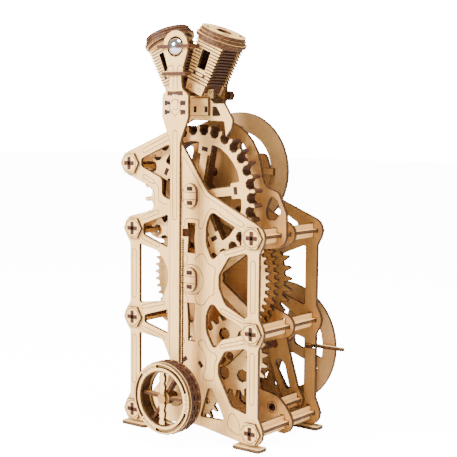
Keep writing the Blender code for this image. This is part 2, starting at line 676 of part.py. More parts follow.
def drive_axle(parent):
    make("drive_axle", [rod(WHEEL_Y + 1, MIDDLE_Y + SHEET + 2)], BURNT, parent)
    hole = circle(AXLE + FIT, count=12)
    teeth = gear(TOOTHED_TEETH, TOOTHED_TIP - 2.6, 2.6, 2.8, 0, 2)
    squares = [turned_box(polar(18, 60 * i + 30), 4.4, 4.4, 60 * i) for i in range(6)]
    make("toothed_wheel", [solid([teeth, hole] + squares, TOOTHED_Y)], TAN, parent)
    pitch = idler_pitch() * DRIVE_PINION
    pinion = gear(DRIVE_PINION, pitch, 2.0, 3.4, DRIVE_PHASE)
    make("drive_pinion", [solid([pinion, hole], IDLER_Y - 1, SHEET + 2)], TAN, parent)


def idler_pitch():
    """Half the module of the drive pinion and the idler gear, from the distance of their axles."""
    gap = Vector(IDLER_AXLE) - Vector(DRIVE_AXLE)
    return gap.length / (DRIVE_PINION + IDLER_TEETH)


def bearing_angle(start, end):
    return math.degrees(math.atan2(end[1] - start[1], end[0] - start[0]))


def mesh_phase(angle, teeth):
    """The first tooth's angle that leaves a gap where the other gear's tooth comes."""
    return angle + 180 / teeth


# Where two gears meet, one has a tooth on the line between their axles and the other has a gap.
IDLER_GEAR_PHASE = bearing_angle(IDLER_AXLE, DRIVE_AXLE)
DRIVE_PHASE = mesh_phase(bearing_angle(DRIVE_AXLE, IDLER_AXLE), DRIVE_PINION)
IDLER_PINION_PHASE = mesh_phase(bearing_angle(IDLER_AXLE, MAIN_AXLE), FINE_PINION)
MAIN_FRONT_PHASE = bearing_angle(MAIN_AXLE, IDLER_AXLE)
MAIN_REAR_PHASE = 90.0
POCKET_PINION_PHASE = mesh_phase(-90.0, FINE_PINION)
RING_PINION_PHASE = -90.0


def idler(parent):
    """The idler gear and pinion, and the lower flywheel on the same axle."""
    distance = (Vector(MAIN_AXLE) - Vector(IDLER_AXLE)).length
    fine = distance / (MAIN_TEETH + FINE_PINION)
    hole = circle(AXLE + FIT, count=12)
    make("idler_axle", [rod(BRACKET_Y - 1, REAR_FLYWHEEL_Y + SHEET + 2)], BURNT, parent)
    teeth = gear(IDLER_TEETH, idler_pitch() * IDLER_TEETH, 2.6, 3.0, IDLER_GEAR_PHASE, 2)
    windows = [circle(6, polar(21, 60 * i), 8) for i in range(6)]
    make("idler_gear", [solid([teeth, hole] + windows, IDLER_Y)], PALE, parent)
    pinion = gear(FINE_PINION, fine * FINE_PINION, 1.7, 2.6, IDLER_PINION_PHASE)
    start = IDLER_Y + SHEET + FIT
    make("idler_pinion", [solid([pinion, hole], start, MAIN_FRONT_Y + SHEET + 0.6 - start)], TAN, parent)
    rim = sector_windows(4, REAR_INNER, 14, 25, 5.0)
    make("lower_flywheel", [solid([circle(REAR_OUTER, count=52), hole] + rim, REAR_FLYWHEEL_Y)], TAN, parent)


def sector_windows(count, outer, inner, first, spoke_half):
    """Windows between spokes of a constant width."""
    windows = []
    for i in range(count):
        middle = first + 360 * i / count
        far = 180 / count - math.degrees(spoke_half / outer)
        near = 180 / count - math.degrees(spoke_half / inner)
        points = [(*polar(outer, middle - far), 2.0)]
        points += [polar(outer, middle - far + 2 * far * k / 5) for k in range(1, 5)]
        points += [(*polar(outer, middle + far), 2.0), (*polar(inner, middle + near), 2.0),
                   polar(inner, middle), (*polar(inner, middle - near), 2.0)]
        windows.append(outline(*points))
    return windows


def main_gears(parent):
    """Two fine gears and the coarse-toothed wheel on the main axle."""
    distance = (Vector(MAIN_AXLE) - Vector(IDLER_AXLE)).length
    front_pitch = MAIN_TEETH * distance / (MAIN_TEETH + FINE_PINION)
    hole = circle(AXLE + FIT, count=12)
    make("main_axle", [rod(CAP_Y + SHEET + FIT, BACK_Y + SHEET + 1)], BURNT, parent)
    teeth = gear(MAIN_TEETH, front_pitch, 1.8, 2.3, MAIN_FRONT_PHASE, 2)
    windows = sector_windows(5, 52, 15, 0, 5.5)
    make("main_gear_front", [solid([teeth, hole] + windows, MAIN_FRONT_Y)], PALE, parent)
    teeth = gear(MAIN_TEETH, FINE_MODULE * MAIN_TEETH / 2, 1.8, 2.3, MAIN_REAR_PHASE, 2)
    make("main_gear_rear", [solid([teeth, hole], MAIN_REAR_Y)], BROWN, parent)
    windows = sector_windows(4, 50, 14, 45, 6.0)
    make("coarse_wheel", [solid([coarse_teeth(), hole] + windows, COARSE_Y)], BROWN, parent)


def pocket_wheel(parent):
    """Twin pocket plates joined by square pegs, on the axle with the pinion that drives them."""
    hole = circle(AXLE + FIT, count=12)
    places = [polar(PEG_CIRCLE, 72 * i + 8) for i in range(5)]
    slots = [turned_box(place, 3.3, 6.3, 72 * i + 8) for i, place in enumerate(places)]
    windows = [outline(*points) for points in pocket_windows()]
    rear = POCKET_Y + SHEET + FIT
    make("pocket_wheel_front", [solid([pocket_teeth(), hole] + slots + windows, POCKET_Y)], PALE, parent)
    plain = sector_windows(5, 49, 13, 44, 5.0)
    make("pocket_wheel_rear", [solid([pocket_teeth(), hole] + plain, rear, POCKET_STACK)],
         BROWN, parent)
    make("pocket_axle", [rod(CAP_Y + SHEET + FIT, MIDDLE_Y + SHEET + 1)], BURNT, parent)
    pinion = gear(FINE_PINION, FINE_MODULE * FINE_PINION / 2, 1.7, 2.6, POCKET_PINION_PHASE)
    start = MAIN_REAR_Y - 1
    make("pocket_pinion", [solid([pinion, hole], start, SHEET + 2.5)], TAN, parent)


def pocket_windows():
    """Five windows between the spokes, stepped in where a peg holds the rim."""
    loops = []
    for i in range(5):
        start, end = 72 * i + 8, 72 * (i + 1) + 8
        far, near = math.degrees(4.2 / 49), math.degrees(4.2 / 13)
        step, inside = math.degrees(7.4 / 47), 38.5
        loop = [(*polar(13, start + near), 1.5), (*polar(inside, start + math.degrees(4.2 / inside)), 0.8),
                (*polar(inside, start + math.degrees(7.4 / inside)), 0.8), (*polar(49, start + step), 1.5)]
        loop += [polar(50, start + step + (72 - 2 * step) * k / 5) for k in range(1, 5)]
        loop += [(*polar(49, end - step), 1.5), (*polar(inside, end - math.degrees(7.4 / inside)), 0.8),
                 (*polar(inside, end - math.degrees(4.2 / inside)), 0.8), (*polar(13, end - near), 1.5)]
        loops.append(loop)
    return loops


def ring_flywheel(parent):
    """The upper ring flywheel on four cross planks, its hub, axle and pinion."""
    hole = circle(AXLE + FIT, count=12)
    make("ring_axle", [rod(BEARING_Y - 4, BACK_Y + SHEET + 1)], BURNT, parent)
    make("ring_flywheel", [solid([circle(RING_OUTER, count=48), circle(RING_INNER, count=40)], RING_Y)],
         TAN, parent)
    half, reach = 3.4, RING_INNER + 5
    corners = []
    for i in range(4):
        corners += [polar(math.hypot(reach, half), 90 * i + math.degrees(math.atan2(end, reach)))
                    for end in (-half, half)]
        corners.append((*polar(half * math.sqrt(2), 90 * i + 45), 5.0))
    make("flywheel_spider", [solid([outline(*corners), hole], RING_Y - SHEET - FIT)], BROWN, parent)
    pitch = FINE_MODULE * FLYWHEEL_PINION / 2
    pinion = gear(FLYWHEEL_PINION, pitch, 1.7, 2.6, RING_PINION_PHASE)
    make("ring_pinion", [solid([pinion, hole], MAIN_REAR_Y - 1, SHEET + 2.5)], TAN, parent)


# V-twin engine

def cylinder_place(side):
    """Local Z runs up the cylinder from the point where both cylinders' lines meet."""
    return moved(0, 0, V_POINT) @ Matrix.Rotation(math.radians(side * LEAN), 4, "Y")


def serrated_side(steps):
    """Points up one side of a cylinder plate, with a notch at every fin."""
    points = []
    start = CYLINDER_FOOT + 9
    pitch = (CYLINDER_TOP - start) / steps
    for i in range(steps):
        z = start + i * pitch
        half = half_width(z)
        points += [(half + 1.3, z + 0.55 * pitch), (half - 0.6, z + 0.6 * pitch)]
    return points


def half_width(z):
    share = (z - CYLINDER_FOOT) / (CYLINDER_TOP - CYLINDER_FOOT)
    return CYLINDER_HALF_FOOT + (CYLINDER_HALF_TOP - 1.5 - CYLINDER_HALF_FOOT) * share


def cylinders():
    """Each cylinder's serrated front and rear plates with the walls between them, and what they hold."""
    right_side = [(CYLINDER_HALF_FOOT, CYLINDER_FOOT)] + serrated_side(8) + [(CYLINDER_HALF_TOP, CYLINDER_TOP)]
    edge = right_side + mirrored(right_side)
    window = box_loop(-4.6, 4.6, 49.0, 66.0, 1.0)
    rear_start = CYLINDER_FRONT + CYLINDER_DEPTH - SHEET
    for side, name in ((-1, "left"), (1, "right")):
        place = cylinder_place(side)
        parts = [solid([edge, window], y, SHEET, place) for y in (CYLINDER_FRONT, rear_start)]
        for wall in (-1, 1):
            start = CYLINDER_FRONT + SHEET - LAP
            parts.append(solid([wall_section(wall)], start, rear_start + LAP - start, place))
        make(name + "_cylinder", parts, PALE)
        head_cover(name, place)
        piston(name, side)


def wall_section(wall):
    """The sloping section of a wall, just inside the plates' serrated sides."""
    foot, top = CYLINDER_FOOT + 2, CYLINDER_TOP - 0.5
    points = [(half_width(z) - inset, z) for z, inset in ((foot, 3.4), (foot, 1.2), (top, 1.2), (top, 3.4))]
    return points if wall > 0 else mirrored(points)


def head_cover(name, place):
    """A stack of discs across the top of a cylinder, the last one with a round hole."""
    discs = []
    for i, radius in enumerate(COVER_RADII):
        loops = [circle(radius, count=24)]
        if i == len(COVER_RADII) - 1:
            loops.append(circle(8.0, count=12))
        z = CYLINDER_TOP + FIT + LAP + i * SHEET
        discs.append(solid(loops, -LAP, SHEET + LAP, place @ moved(0, ENGINE_Y, z) @ LYING))
    make(name + "_head_cover", discs, TAN, None)


def piston(name, side):
    """A piston between the cylinder's walls, on an empty whose Z is the cylinder's line."""
    slide = axis(name + "_piston_axis", (0, V_POINT))
    slide.rotation_euler.y = math.radians(side * LEAN)
    place = moved(0, ENGINE_Y, PISTON_FOOT) @ LYING
    head = solid([circle(PISTON, count=16)], 0, PISTON_LENGTH, place)
    make(name + "_piston", [head], BURNT, slide)


def crankcase(parent):
    """The case's rear plate with its side walls, and the crankshaft with its disc."""
    rear_y = CYLINDER_FRONT + CYLINDER_DEPTH + FIT
    edge = outline((-CASE_HALF, CASE_FOOT, 1), (CASE_HALF, CASE_FOOT, 1), (CASE_HALF + 3, 296, 2), (24, 318, 2),
                   (9, 322, 2), (0, 314, 4), (-9, 322, 2), (-24, 318, 2), (-CASE_HALF - 3, 296, 2))
    hole = circle(AXLE + RUNNING, (0, CRANK_Z), 12)
    parts = [solid([edge, hole], rear_y)]
    for side in (-1, 1):
        x = side * (CASE_HALF - SHEET / 2)
        start = FRONT_Y + SHEET + FIT
        loop = box_loop(x - SHEET / 2, x + SHEET / 2, CASE_FOOT + 1, CASE_TOP - 3)
        parts.append(solid([loop], start, rear_y + LAP - start))
    make("crankcase", parts, BROWN)
    pin_hole = circle(CRANK_PIN, (AXLE + FIT + CRANK_PIN + 0.5, 0), 8)
    disc = [circle(CRANK_DISC, count=20), circle(AXLE + FIT, count=12), pin_hole]
    make("crank_disc", [solid(disc, FRONT_Y + SHEET + 4)], BROWN, parent)
    make("crankshaft", [rod(FRONT_Y + SHEET + 1, rear_y + SHEET + 2)], BURNT, parent)


def place_on_origin():
    """Stand the kit on the origin, with the middle of its box above it."""
    bpy.context.view_layer.update()
    corners = [piece.matrix_world @ Vector(corner) for piece in bpy.data.objects if piece.type != "EMPTY"
               for corner in exact_corners(piece)]
    low = Vector(min(corner[i] for corner in corners) for i in range(3))
    high = Vector(max(corner[i] for corner in corners) for i in range(3))
    bpy.data.objects["kit"].location = -Vector(((low.x + high.x) / 2, (low.y + high.y) / 2, low.z))


def exact_corners(piece):
    """A piece's own points, so that turned pieces count at their true size."""
    if piece.type == "MESH":
        return [vert.co for vert in piece.data.vertices]
    return piece.bound_box


def clear_scene():
    for piece in list(bpy.data.objects):
        bpy.data.objects.remove(piece, do_unlink=True)


def main():
    clear_scene()
    kit = bpy.data.objects.new("kit", None)
    bpy.context.collection.objects.link(kit)
    front_plate()
    bearing_plate()
    middle_plate()
    back_plate()
    tie_bars()
    feet()
    inner_bracket()
    swing_plate()
    axle_caps()
    stop_bar()
    fork_rail()
    rail_bridge()
    handlebar_and_yoke()
    lamp_ball()
    cord()
    drive = axis("drive_axis", DRIVE_AXLE)
    front_wheel(drive)
    drive_axle(drive)
    idler(axis("idler_axis", IDLER_AXLE))
    main_gears(axis("main_axis", MAIN_AXLE))
    pocket_wheel(axis("pocket_axis", POCKET_AXLE))
    ring_flywheel(axis("ring_axis", RING_AXLE))
    cylinders()
    crankcase(axis("crank_axis", (0, CRANK_Z)))
    place_on_origin()


main()
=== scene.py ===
"""Looks for a wooden mechanical tower kit: laser-cut plywood, burnt edges and engraved lines.

Drawing lengths are in millimetres. X runs to the right along the front, Y goes back through the
layers and Z goes up, counted from the front of the hex caps on the lowest tie bars.
"""
import json
import math

import bmesh
import bpy
from bpy.props import FloatProperty, FloatVectorProperty, PointerProperty
from bpy.types import Operator, Panel, PropertyGroup
from mathutils import Matrix, Vector


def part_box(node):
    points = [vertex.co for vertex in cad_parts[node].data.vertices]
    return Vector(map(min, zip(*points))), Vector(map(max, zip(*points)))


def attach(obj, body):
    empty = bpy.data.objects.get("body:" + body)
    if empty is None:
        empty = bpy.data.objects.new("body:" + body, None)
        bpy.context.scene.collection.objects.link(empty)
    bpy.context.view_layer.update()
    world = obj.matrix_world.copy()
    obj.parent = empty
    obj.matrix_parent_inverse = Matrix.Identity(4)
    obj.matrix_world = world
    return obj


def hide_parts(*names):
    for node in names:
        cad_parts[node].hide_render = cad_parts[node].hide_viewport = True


bl_info = {
    "name": "Wooden tower kit",
    "version": (1, 0, 0),
    "blender": (4, 5, 0),
    "location": "View3D > Sidebar > Kit",
    "description": "Makes the plywood, engravings and small fittings of a wooden tower kit",
    "category": "Object",
}

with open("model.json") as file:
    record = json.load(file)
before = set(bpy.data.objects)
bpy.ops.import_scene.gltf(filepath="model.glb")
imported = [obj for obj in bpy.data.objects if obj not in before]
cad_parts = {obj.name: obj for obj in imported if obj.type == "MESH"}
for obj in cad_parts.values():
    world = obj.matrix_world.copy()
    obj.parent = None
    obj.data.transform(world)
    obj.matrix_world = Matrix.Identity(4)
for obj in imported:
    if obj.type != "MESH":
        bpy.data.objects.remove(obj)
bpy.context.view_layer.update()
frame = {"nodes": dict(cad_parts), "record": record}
NODES = frame["nodes"]
MM = 0.001
SHEET = 3.0
FIT = 0.3
BALL_FORWARD = 8.0      # from the ball's node to the middle of the lamp ring's hole
HALF_BLADE = 6.4        # half the width of a crossed blade
CAP_RADIUS = 11.0
RIM_RADIUS, RIM_HOLE = 32.4, 25.0
CHANNEL_INNER, CHANNEL_OUTER = 28.1, 30.5
CHANNEL_STARTS = (18, 138, 258)
CHANNEL_SPAN = 84
TYRE_RADIUS, TYRE_HOLE, TYRE_LAYERS = 33.4, 28.4, 5
SPOKE_ROOT, SPOKE_REACH, HALF_SPOKE = 3.8, 24.6, 1.3
PEG_CIRCLE = 43.0
FIN_COUNT = 13
FIN_START = 9.0         # plain foot of a cylinder, below its fins
WINDOW_LOW, WINDOW_HIGH = 49.0, 66.0
COVER_HOLE = 7.6
CAMERA_PLACE = (640.9, -792.4, 281.7)
CAMERA_AZIMUTH, CAMERA_HEIGHT, CAMERA_ROLL = 36.963, 5.731, 0.4725
LIGHT_AIM = (0, 0, 0.2)
KEY_COLOUR, FILL_COLOUR = (1.0, 0.98, 0.95), (1.0, 0.97, 0.93)


def kit_origin():
    """Where the drawing's zero is: on the low tie bars' line, at the front of their caps."""
    left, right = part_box("low_left_tie_bar"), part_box("low_right_tie_bar")
    return Vector(((left[0].x + right[1].x) / 2, left[0].y, (left[0].z + left[1].z) / 2))


ORIGIN = kit_origin()
TO_ROW = Matrix.Translation(ORIGIN) @ Matrix.Scale(MM, 4)


def node_y(node, side=0):
    """A node's front (side 0) or back (side 1) in the drawing's millimetres."""
    return (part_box(node)[side].y - ORIGIN.y) / MM


def node_middle(node):
    """The middle of a node in the drawing's x and z."""
    low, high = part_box(node)
    return ((low.x + high.x) / 2 - ORIGIN.x) / MM, ((low.z + high.z) / 2 - ORIGIN.z) / MM


# Places shared by pieces
BAR_X = node_middle("low_right_tie_bar")[0]
BAR_NODES = ("low_left_tie_bar", "low_right_tie_bar", "middle_left_tie_bar", "middle_right_tie_bar",
             "high_left_tie_bar", "high_right_tie_bar", "top_left_tie_bar")
DRIVE = node_middle("drive_axle")
MAIN = node_middle("main_axle")
POCKET = node_middle("pocket_axle")
SWING = node_middle("swing_pin")
LEAN = 22.5
V_POINT = 277.3
ENGINE_Y = (node_y("left_cylinder") + node_y("left_cylinder", 1)) / 2
CYLINDER_DEPTH = node_y("left_cylinder", 1) - node_y("left_cylinder")
CYLINDER_FOOT = 27.0
CYLINDER_TOP = 72.7
COVER_RADII = (20.8, 23.2, 21.4, 20.4)
LYING = Matrix.Rotation(math.pi / 2, 4, "X")


class KitColours(PropertyGroup):
    face: FloatVectorProperty(
        name="Plywood face", description="Sanded birch face", subtype="COLOR", size=3,
        min=0, max=1, default=(0.93, 0.60, 0.235))
    grain: FloatVectorProperty(
        name="Grain", description="Darker streaks along the birch grain", subtype="COLOR", size=3,
        min=0, max=1, default=(0.74, 0.41, 0.125))
    # Painted shade: the same birch as the face, darkened for the dim, warm light inside the kit.
    inner: FloatVectorProperty(
        name="Inner plywood", description="Face of the plates and gears inside", subtype="COLOR",
        size=3, min=0, max=1, default=(0.46, 0.225, 0.062))
    board: FloatVectorProperty(
        name="Flywheel board", description="Face of the heavy rings", subtype="COLOR", size=3,
        min=0, max=1, default=(0.54, 0.30, 0.11))
    edge: FloatVectorProperty(
        name="Burnt edge", description="Edge left brown by the laser", subtype="COLOR", size=3,
        min=0, max=1, default=(0.040, 0.0115, 0.003))
    char: FloatVectorProperty(
        name="Char", description="Darkest burns and engraved lines", subtype="COLOR", size=3,
        min=0, max=1, default=(0.014, 0.0045, 0.0015))
    tyre: FloatVectorProperty(
        name="Tyre edge", description="Stacked edges of the tyre's rings", subtype="COLOR", size=3,
        min=0, max=1, default=(0.030, 0.0095, 0.0035))
    cover: FloatVectorProperty(
        name="Cover edge", description="Red-brown edges of the head covers", subtype="COLOR", size=3,
        min=0, max=1, default=(0.046, 0.0105, 0.0032))
    steel: FloatVectorProperty(
        name="Steel", description="Polished ball in the lamp", subtype="COLOR", size=3,
        min=0, max=1, default=(0.56, 0.57, 0.60))


class KitSizes(PropertyGroup):
    """Sizes of the fine detail, in millimetres."""

    engraved: FloatProperty(
        name="Engraved line", description="Width of an engraved line, in millimetres",
        min=0.1, max=2, default=0.55)
    rim: FloatProperty(
        name="Burnt rim", description="Width of the scorch along a cut, in millimetres",
        min=0.05, max=1, default=0.36)
    proud: FloatProperty(
        name="Proud", description="How far blade and peg ends stand out, in millimetres",
        min=0, max=1, default=0.4)


class StageSizes(PropertyGroup):
    """The floor, the lights and the camera."""

    floor: FloatProperty(
        name="Floor", description="Width of the pale floor", subtype="DISTANCE", min=1, default=12)
    key: FloatProperty(
        name="Key light", description="Power of the large front light", subtype="POWER", min=0, default=80)
    fill: FloatProperty(
        name="Fill light", description="Power of the side light", subtype="POWER", min=0, default=8)
    sky: FloatProperty(
        name="Surroundings", description="Brightness of the room as it lights the kit", min=0, default=0.42)
    backdrop: FloatProperty(
        name="Backdrop", description="Brightness of the room and floor as they are seen", min=0, default=22.0)
    lens: FloatProperty(
        name="Lens", description="Focal length of the camera, in millimetres", min=10, default=88.55)


# Drawing

def polar(radius, degrees, centre=(0.0, 0.0)):
    angle = math.radians(degrees)
    return centre[0] + radius * math.cos(angle), centre[1] + radius * math.sin(angle)


def circle(radius, centre=(0.0, 0.0), count=32, first=0.0):
    return [polar(radius, first + 360 * i / count, centre) for i in range(count)]


def arc(radius, start, end, centre=(0.0, 0.0), count=12):
    return [polar(radius, start + (end - start) * i / count, centre) for i in range(count + 1)]


def ring_part(inner, outer, start, end, centre=(0.0, 0.0), count=16):
    """A closed outline between two radii and two angles."""
    return arc(outer, start, end, centre, count) + arc(inner, end, start, centre, count)


def box(x0, x1, z0, z1):
    return [(x0, z0), (x1, z0), (x1, z1), (x0, z1)]


def turned_box(centre, width, height, degrees):
    c, s = math.cos(math.radians(degrees)), math.sin(math.radians(degrees))
    return [(centre[0] + x * c - z * s, centre[1] + x * s + z * c)
            for x, z in box(-width / 2, width / 2, -height / 2, height / 2)]


def smooth(points, closed=True, steps=4):
    """A soft curve through the points."""
    vectors = [Vector(point) for point in points]
    count = len(vectors)
    result = []
    for i in range(count if closed else count - 1):
        before = vectors[(i - 1) % count] if closed or i else vectors[0]
        start, end = vectors[i], vectors[(i + 1) % count]
        after = vectors[(i + 2) % count] if closed or i + 2 < count else end
        for k in range(steps):
            t = k / steps
            result.append(0.5 * ((2 * start) + (end - before) * t
                                 + (2 * before - 5 * start + 4 * end - after) * t * t
                                 + (3 * start - before - 3 * end + after) * t ** 3))
    if not closed:
        result.append(vectors[-1])
    return [tuple(point) for point in result]


def capsule(start, end, width, count=8):
    """The rounded outline round a line."""
    degrees = math.degrees(math.atan2(end[1] - start[1], end[0] - start[0]))
    return (arc(width / 2, degrees - 90, degrees + 90, end, count)
            + arc(width / 2, degrees + 90, degrees + 270, start, count))


def behind(x=0.0):
    """Turn what is drawn on a front face to face the other way, about an upright line at x."""
    return Matrix.Translation((2 * x, 0, 0)) @ Matrix.Rotation(math.pi, 4, "Z")


def mirrored(points):
    return [(-x, z) for x, z in reversed(points)]


def side_step(points, i, closed, distance):
    """A point moved to the left of its path."""
    here = Vector(points[i])
    count = len(points)
    before = Vector(points[i - 1]) if closed or i else None
    after = Vector(points[(i + 1) % count]) if closed or i + 1 < count else None
    first = (here - before).normalized() if before is not None else (after - here).normalized()
    second = (after - here).normalized() if after is not None else first
    left, right = Vector((-first.y, first.x)), Vector((-second.y, second.x))
    return here + (left + right) * distance / max(1 + left.dot(right), 0.5)


class Piece:
    """A mesh in the making, with the surfaces that its faces use."""

    def __init__(self, name):
        self.name = name
        self.bm = bmesh.new()
        self.surfaces = []

    def dress(self, faces, surface, place):
        if surface not in self.surfaces:
            self.surfaces.append(surface)
        index = self.surfaces.index(surface)
        for face in faces:
            face.material_index = index
        verts = {vert for face in faces for vert in face.verts}
        bmesh.ops.transform(self.bm, matrix=place, verts=list(verts))
        bmesh.ops.recalc_face_normals(self.bm, faces=faces)
        return faces

    def slab(self, loops, y, depth, surface, place=Matrix()):
        """A sheet piece: an outline with its holes, and its depth."""
        edges = []
        for loop in loops:
            verts = [self.bm.verts.new((x, y, z)) for x, z in loop]
            edges += [self.bm.edges.new(pair) for pair in zip(verts, verts[1:] + verts[:1])]
        filled = bmesh.ops.triangle_fill(self.bm, use_beauty=True, edges=edges, normal=(0, -1, 0))
        faces = [part for part in filled["geom"] if isinstance(part, bmesh.types.BMFace)]
        grown = bmesh.ops.extrude_face_region(self.bm, geom=faces)["geom"]
        far = [part for part in grown if isinstance(part, bmesh.types.BMVert)]
        bmesh.ops.translate(self.bm, vec=(0, depth, 0), verts=far)
        whole = {face for vert in far for face in vert.link_faces} | set(faces)
        return self.dress(list(whole), surface, place)

    def line(self, points, y, width, surface, closed=True, place=Matrix(), lift=0.05, sunk=0.15, shift=0.0):
        """A line on a face that looks towards -Y: a thin raised strip along the points."""
        count = len(points)
        rows = []
        for i in range(count):
            near = side_step(points, i, closed, shift - width / 2)
            far = side_step(points, i, closed, shift + width / 2)
            rows.append([self.bm.verts.new((p.x, depth, p.y))
                         for p, depth in ((near, y - lift), (far, y - lift),
                                          (far, y + sunk), (near, y + sunk))])
        faces = []
        for i in range(count if closed else count - 1):
            a, b = rows[i], rows[(i + 1) % count]
            faces += [self.bm.faces.new((a[k], a[(k + 1) % 4], b[(k + 1) % 4], b[k])) for k in range(4)]
        if not closed:
            faces += [self.bm.faces.new(rows[0]), self.bm.faces.new(reversed(rows[-1]))]
        return self.dress(faces, surface, place)

    def finish(self, body, slot, *replaced):
        """Make the object, and say which body it rides on and which nodes it stands for."""
        mesh = bpy.data.meshes.new(self.name)
        bmesh.ops.transform(self.bm, matrix=TO_ROW, verts=self.bm.verts)
        self.bm.to_mesh(mesh)
        self.bm.free()
        for surface in self.surfaces:
            mesh.materials.append(surface)
        made = bpy.data.objects.new(self.name, mesh)
        bpy.context.scene.collection.objects.link(made)
        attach(made, body)
        if replaced:
            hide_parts(*replaced)
        return made


def face_loops(node, normal):
    """The outlines of a node's flat faces that look along normal, with the solid on their left."""
    mesh = NODES[node].data
    edges = {}
    for polygon in mesh.polygons:
        if polygon.normal.dot(normal) < 0.999:
            continue
        plane = round(polygon.center.dot(normal) * 1e5)
        corners = [tuple(round(value * 1e6) for value in mesh.vertices[i].co) for i in polygon.vertices]
        edges.setdefault(plane, set()).update(zip(corners, corners[1:] + corners[:1]))
    loops = []
    for found in edges.values():
        onward = {a: b for a, b in found if (b, a) not in found}
        while onward:
            start, here = onward.popitem()
            loop = [start]
            while here != start and here in onward:
                loop.append(here)
                here = onward.pop(here)
            if len(loop) > 2:
                loops.append([Vector(point) * 1e-6 for point in loop])
    return loops


def scorch(node, normal, surface, width):
    """Thin scorched rims along every cut of the faces that look along normal."""
    turn = Vector((0, -1, 0)).rotation_difference(normal).to_matrix().to_4x4()
    back = turn.inverted()
    piece = Piece(node + "_scorch")
    inverse = TO_ROW.inverted()
    for loop in face_loops(node, normal):
        flat = [back @ (inverse @ point) for point in loop]
        piece.line([(p.x, p.z) for p in flat], flat[0].y, width, surface, place=turn, shift=width / 2 + 0.03)
    return piece


# Surfaces

def wood_group():
    """Plywood cut by a laser: grain on the sheet's faces, burnt plies on its edges."""
    group = bpy.data.node_groups.new("laser_cut_plywood", "ShaderNodeTree")
    face = group.interface
    for name, kind, value in (
            ("Sheet Normal", "NodeSocketVector", (0, 1, 0)), ("Face", "NodeSocketColor", (1, 1, 1, 1)),
            ("Grain", "NodeSocketColor", (1, 1, 1, 1)), ("Edge", "NodeSocketColor", (0, 0, 0, 1)),
            ("Grain Scale", "NodeSocketVector", (900, 900, 35)), ("Seed", "NodeSocketFloat", 0.0)):
        socket = face.new_socket(name=name, in_out="INPUT", socket_type=kind)
        socket.default_value = value
    for name, kind in (("Color", "NodeSocketColor"), ("Roughness", "NodeSocketFloat"),
                       ("Height", "NodeSocketFloat")):
        face.new_socket(name=name, in_out="OUTPUT", socket_type=kind)
    nodes, links = group.nodes, group.links
    inside, outside = nodes.new("NodeGroupInput"), nodes.new("NodeGroupOutput")
    place = nodes.new("ShaderNodeTexCoord")

    def maths(operation, first, second=None, clamp=False):
        node = nodes.new("ShaderNodeMath")
        node.operation = operation
        node.use_clamp = clamp
        for socket, value in zip(node.inputs, (first, second)):
            if isinstance(value, (int, float)):
                socket.default_value = value
            elif value is not None:
                links.new(value, socket)
        return node.outputs[0]

    def vector(operation, first, second):
        node = nodes.new("ShaderNodeVectorMath")
        node.operation = operation
        for socket, value in zip(node.inputs, (first, second)):
            if isinstance(value, tuple):
                socket.default_value = value
            else:
                links.new(value, socket)
        return node

    def noise(coordinates, scale, detail):
        node = nodes.new("ShaderNodeTexNoise")
        node.noise_dimensions = "4D"
        node.inputs["Scale"].default_value = scale
        node.inputs["Detail"].default_value = detail
        links.new(coordinates, node.inputs["Vector"])
        links.new(inside.outputs["Seed"], node.inputs["W"])
        return node.outputs["Fac"]

    def mix(share, first, second):
        node = nodes.new("ShaderNodeMix")
        node.data_type = "RGBA"
        links.new(share, node.inputs["Factor"])
        for socket, value in ((node.inputs["A"], first), (node.inputs["B"], second)):
            if isinstance(value, tuple):
                socket.default_value = value
            else:
                links.new(value, socket)
        return node.outputs["Result"]

    def spread(value, low, high):
        node = nodes.new("ShaderNodeMapRange")
        node.inputs["From Min"].default_value = low
        node.inputs["From Max"].default_value = high
        links.new(value, node.inputs["Value"])
        return node.outputs["Result"]

    lean = vector("DOT_PRODUCT", place.outputs["Normal"], inside.outputs["Sheet Normal"]).outputs["Value"]
    on_face = spread(maths("ABSOLUTE", lean), 0.62, 0.75)
    stretched = vector("MULTIPLY", place.outputs["Object"], inside.outputs["Grain Scale"]).outputs["Vector"]
    fine = noise(stretched, 1.0, 4.0)
    broad = noise(place.outputs["Object"], 26.0, 2.0)
    streak = spread(maths("ADD", maths("MULTIPLY", fine, 0.65), maths("MULTIPLY", broad, 0.35)), 0.36, 0.66)
    face_colour = mix(streak, inside.outputs["Face"], inside.outputs["Grain"])
    blotch = noise(place.outputs["Object"], 420.0, 3.0)
    through = vector("DOT_PRODUCT", place.outputs["Object"], inside.outputs["Sheet Normal"]).outputs["Value"]
    plies = maths("SINE", maths("MULTIPLY", through, 2 * math.pi / 0.0015))
    lit = maths("ADD", maths("MULTIPLY", plies, 0.13), maths("MULTIPLY", blotch, 0.9))
    edge_share = spread(lit, 0.35, 0.95)
    edge_colour = mix(maths("MULTIPLY", edge_share, 0.32), inside.outputs["Edge"], inside.outputs["Grain"])
    links.new(mix(on_face, edge_colour, face_colour), outside.inputs["Color"])
    links.new(maths("ADD", maths("MULTIPLY", streak, 0.12), 0.5), outside.inputs["Roughness"])
    links.new(maths("ADD", fine, maths("MULTIPLY", blotch, 0.5)), outside.inputs["Height"])
    return group


def srgb(colour):
    return (*colour, 1.0)


def new_surface(name):
    """A surface, with its nodes, links and shader."""
    surface = bpy.data.materials.new(name)
    surface.use_nodes = True
    tree = surface.node_tree
    return surface, tree.nodes, tree.links, tree.nodes["Principled BSDF"]


